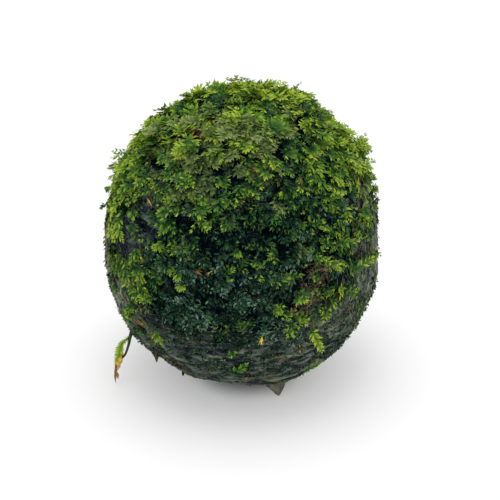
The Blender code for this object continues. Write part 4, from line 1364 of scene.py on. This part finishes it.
class MOSS_OT_shoot(bpy.types.Operator):
    """Hangs the young shoot at the lower left: its stem, the leafy branch beside it and its withered tip"""

    bl_idname = "moss.shoot"
    bl_label = "Hanging shoot"

    def execute(self, context):
        draw = np.random.default_rng(SHOOT_SEED)
        stem, ways = spaced(STEM_POINTS, STEM_STEPS)
        radii = np.interp(ways, STEM_WAYS, STEM_RADII)
        tone = np.interp(ways, (0, 0.35, 0.5, 1), (0.26, 0.34, 0.50, 0.74))
        plan = tube_plan(tone, np.where(ways > 0.35, BROWN, OLIVE), ways, STEM_SIDES)
        parts = [(*tubes(stem[None], radii[None], TOWARD_FRONT, STEM_SIDES), plan)]

        comb, ways = spaced(BRANCH_POINTS, BRANCH_STEPS)
        radii = np.full((1, BRANCH_STEPS), BRANCH_RADIUS)
        plan = tube_plan(0.80, FRESH, ways, BRANCH_SIDES)
        parts.append((*tubes(comb[None], radii, TOWARD_FRONT, BRANCH_SIDES), plan))

        ahead = unit(np.gradient(comb, axis=0))
        left = unit(np.cross(TOWARD_FRONT, ahead))
        row = ease(0.80, 0.90, ways).round() * BROWN
        for side, size in ((1, 0.0017), (-1, 0.0015)):
            lean = unit(ahead * 0.8 + left * side + draw.normal(0, 0.14, comb.shape))
            up = unit(np.array((0.0, -1.0, 0.3)) + draw.normal(0, 0.25, comb.shape))
            length = size * (0.4 + 0.7 * np.sin(math.pi * (0.08 + 0.80 * ways)))[:, None]
            tone = 0.93 + draw.normal(0, 0.06, BRANCH_STEPS)
            plan = leaf_plan(tone, row, (-0.06, 0.02, -0.01, 0.01), (0.6, 1.0, 0.8, 0.8))
            parts.append((*leaf_blades(comb, lean, up, length, 0.22 * length, 0.08 * length), plan))

        base, tip, (half_width,), (tone,) = np.split(np.array(WITHERED_LEAVES).T, (3, 6, 7))
        run = (tip - base).T
        length = np.linalg.norm(run, axis=1, keepdims=True)
        leaves = leaf_blades(base.T, unit(run), (0.1, -1.0, 0.2), length, half_width[:, None], 0.0001)
        parts.append((*leaves, leaf_plan(tone, BROWN, (-0.1, 0.04, -0.01, 0.01), BLADE_PLACES)))
        finish = bpy.data.materials["wet_leaves"]
        add_piece("young_shoot", joined(*parts), finish, "young_shoot", ("hanging_sprig",))
        return {"FINISHED"}


class MOSS_OT_studio(bpy.types.Operator):
    """Sets up the pale floor, whose painted glow fades into a painted contact shadow where the lump stands,
    the soft lights and the camera
    """

    bl_idname = "moss.studio"
    bl_label = "Studio"

    def execute(self, context):
        scene = context.scene
        studio = scene.moss_studio
        self.lay_floor(studio)
        world = bpy.data.worlds.new("studio")
        world.use_nodes = True
        background = world.node_tree.nodes["Background"]
        background.inputs["Color"].default_value = (*WHITE, 1.0)
        background.inputs["Strength"].default_value = studio.sky
        scene.world = world
        self.hang_lamp(scene, studio.key_power)
        scene.view_settings.view_transform = "Standard"
        self.place_camera(scene, studio)
        return {"FINISHED"}

    def lay_floor(self, studio):
        """A floor that curves up into a wall: a quarter circle between two flat stretches."""
        bend = np.linspace(0.1, math.pi / 2, COVE_STEPS)
        flat = np.linspace(FLOOR_FRONT, FLOOR_BACK, 3)
        way = np.concatenate([flat, FLOOR_BACK + COVE_RADIUS * np.sin(bend), [FLOOR_BACK + COVE_RADIUS]])
        rise = np.concatenate([0 * flat, COVE_RADIUS - COVE_RADIUS * np.cos(bend), [WALL_TOP]])
        across = np.tile((-FLOOR_HALF_WIDTH, FLOOR_HALF_WIDTH), len(way))
        points = np.stack([across, np.repeat(way, 2), np.repeat(rise, 2)], axis=1)
        start = np.arange(len(way) - 1) * 2
        paint = Paint("pale_floor", Base_Color=(*studio.floor, 1.0), Roughness=0.7, Specular_IOR_Level=0.2)
        # Painted contact shadow: the glow fades to dark grey round the place where the lump stands
        middle = {0: paint.place(), 1: FLOOR_SHADE_MIDDLE}
        apart = paint.add("ShaderNodeVectorMath", {"operation": "DISTANCE"}, middle, output=1)
        painted_glow = paint.mix(apart.eased(*FLOOR_SHADE_REACH), FLOOR_SHADE, WHITE)
        finish = paint.feed(Emission_Color=painted_glow, Emission_Strength=studio.painted_glow)
        floor = new_object("floor", points, quads(start, start + 1, start + 3, start + 2), finish)

    def hang_lamp(self, scene, power):
        """A square soft light overhead that faces the middle of the lump."""
        data = bpy.data.lights.new("key_light", "AREA")
        data.size, data.energy = LAMP_SIZE, power
        lamp = bpy.data.objects.new("key_light", data)
        lamp.location = LAMP_PLACE
        lamp.rotation_mode = "QUATERNION"
        lamp.rotation_quaternion = (Vector(LAMP_PLACE) - Vector(CENTRE)).to_track_quat("Z", "Y")
        scene.collection.objects.link(lamp)

    def place_camera(self, scene, studio):
        """The camera in front, raised by its elevation, aimed a little right of the middle and below it."""
        elevation = studio.elevation
        toward = Vector((0, -math.cos(elevation), math.sin(elevation)))
        up = Vector((0, math.sin(elevation), math.cos(elevation)))
        right = Vector((1, 0, 0))
        pixel = studio.view_width / PICTURE_PIXELS
        target = Vector(CENTRE) + right * AIM_RIGHT * pixel + up * AIM_UP * pixel
        lens = bpy.data.cameras.new("camera")
        lens.sensor_width = SENSOR_WIDTH
        lens.lens = SENSOR_WIDTH * studio.distance / studio.view_width
        lens.clip_start = 0.01
        camera = bpy.data.objects.new("camera", lens)
        scene.collection.objects.link(camera)
        camera.matrix_world = Matrix((right, up, toward)).transposed().to_4x4()
        camera.location = target + toward * studio.distance
        scene.camera = camera


class MOSS_PT_sidebar(bpy.types.Panel):
    """Lists the pieces and their settings"""

    bl_idname = "MOSS_PT_sidebar"
    bl_label = "Mossy stone"
    bl_space_type = "VIEW_3D"
    bl_region_type = "UI"
    bl_category = "Moss"

    def draw(self, context):
        for name in GROUPS:
            group = getattr(context.scene, name)
            box = self.layout.box()
            for field in group.__annotations__:
                box.prop(group, field)
        for operator in OPERATORS:
            self.layout.operator(operator.bl_idname)


OPERATORS = (
    MOSS_OT_studio,
    MOSS_OT_stone,
    MOSS_OT_mat,
    MOSS_OT_strands,
    MOSS_OT_fronds,
    MOSS_OT_tufts,
    MOSS_OT_foot_tags,
    MOSS_OT_shoot,
)
GROUPS = {"moss_looks": MOSS_PG_looks, "moss_growth": MOSS_PG_growth, "moss_studio": MOSS_PG_studio}


def register():
    for cls in (*GROUPS.values(), *OPERATORS, MOSS_PT_sidebar):
        bpy.utils.register_class(cls)
    for name, group in GROUPS.items():
        setattr(bpy.types.Scene, name, bpy.props.PointerProperty(type=group))


def unregister():
    for name in GROUPS:
        delattr(bpy.types.Scene, name)
    for cls in reversed((*GROUPS.values(), *OPERATORS, MOSS_PT_sidebar)):
        bpy.utils.unregister_class(cls)


def main():
    register()
    bpy.ops.moss.studio()
    bpy.ops.moss.stone()
    bpy.ops.moss.mat()
    bpy.ops.moss.strands()
    bpy.ops.moss.fronds()
    bpy.ops.moss.tufts()
    bpy.ops.moss.foot_tags()
    bpy.ops.moss.shoot()


if __name__ == "__main__":
    main()
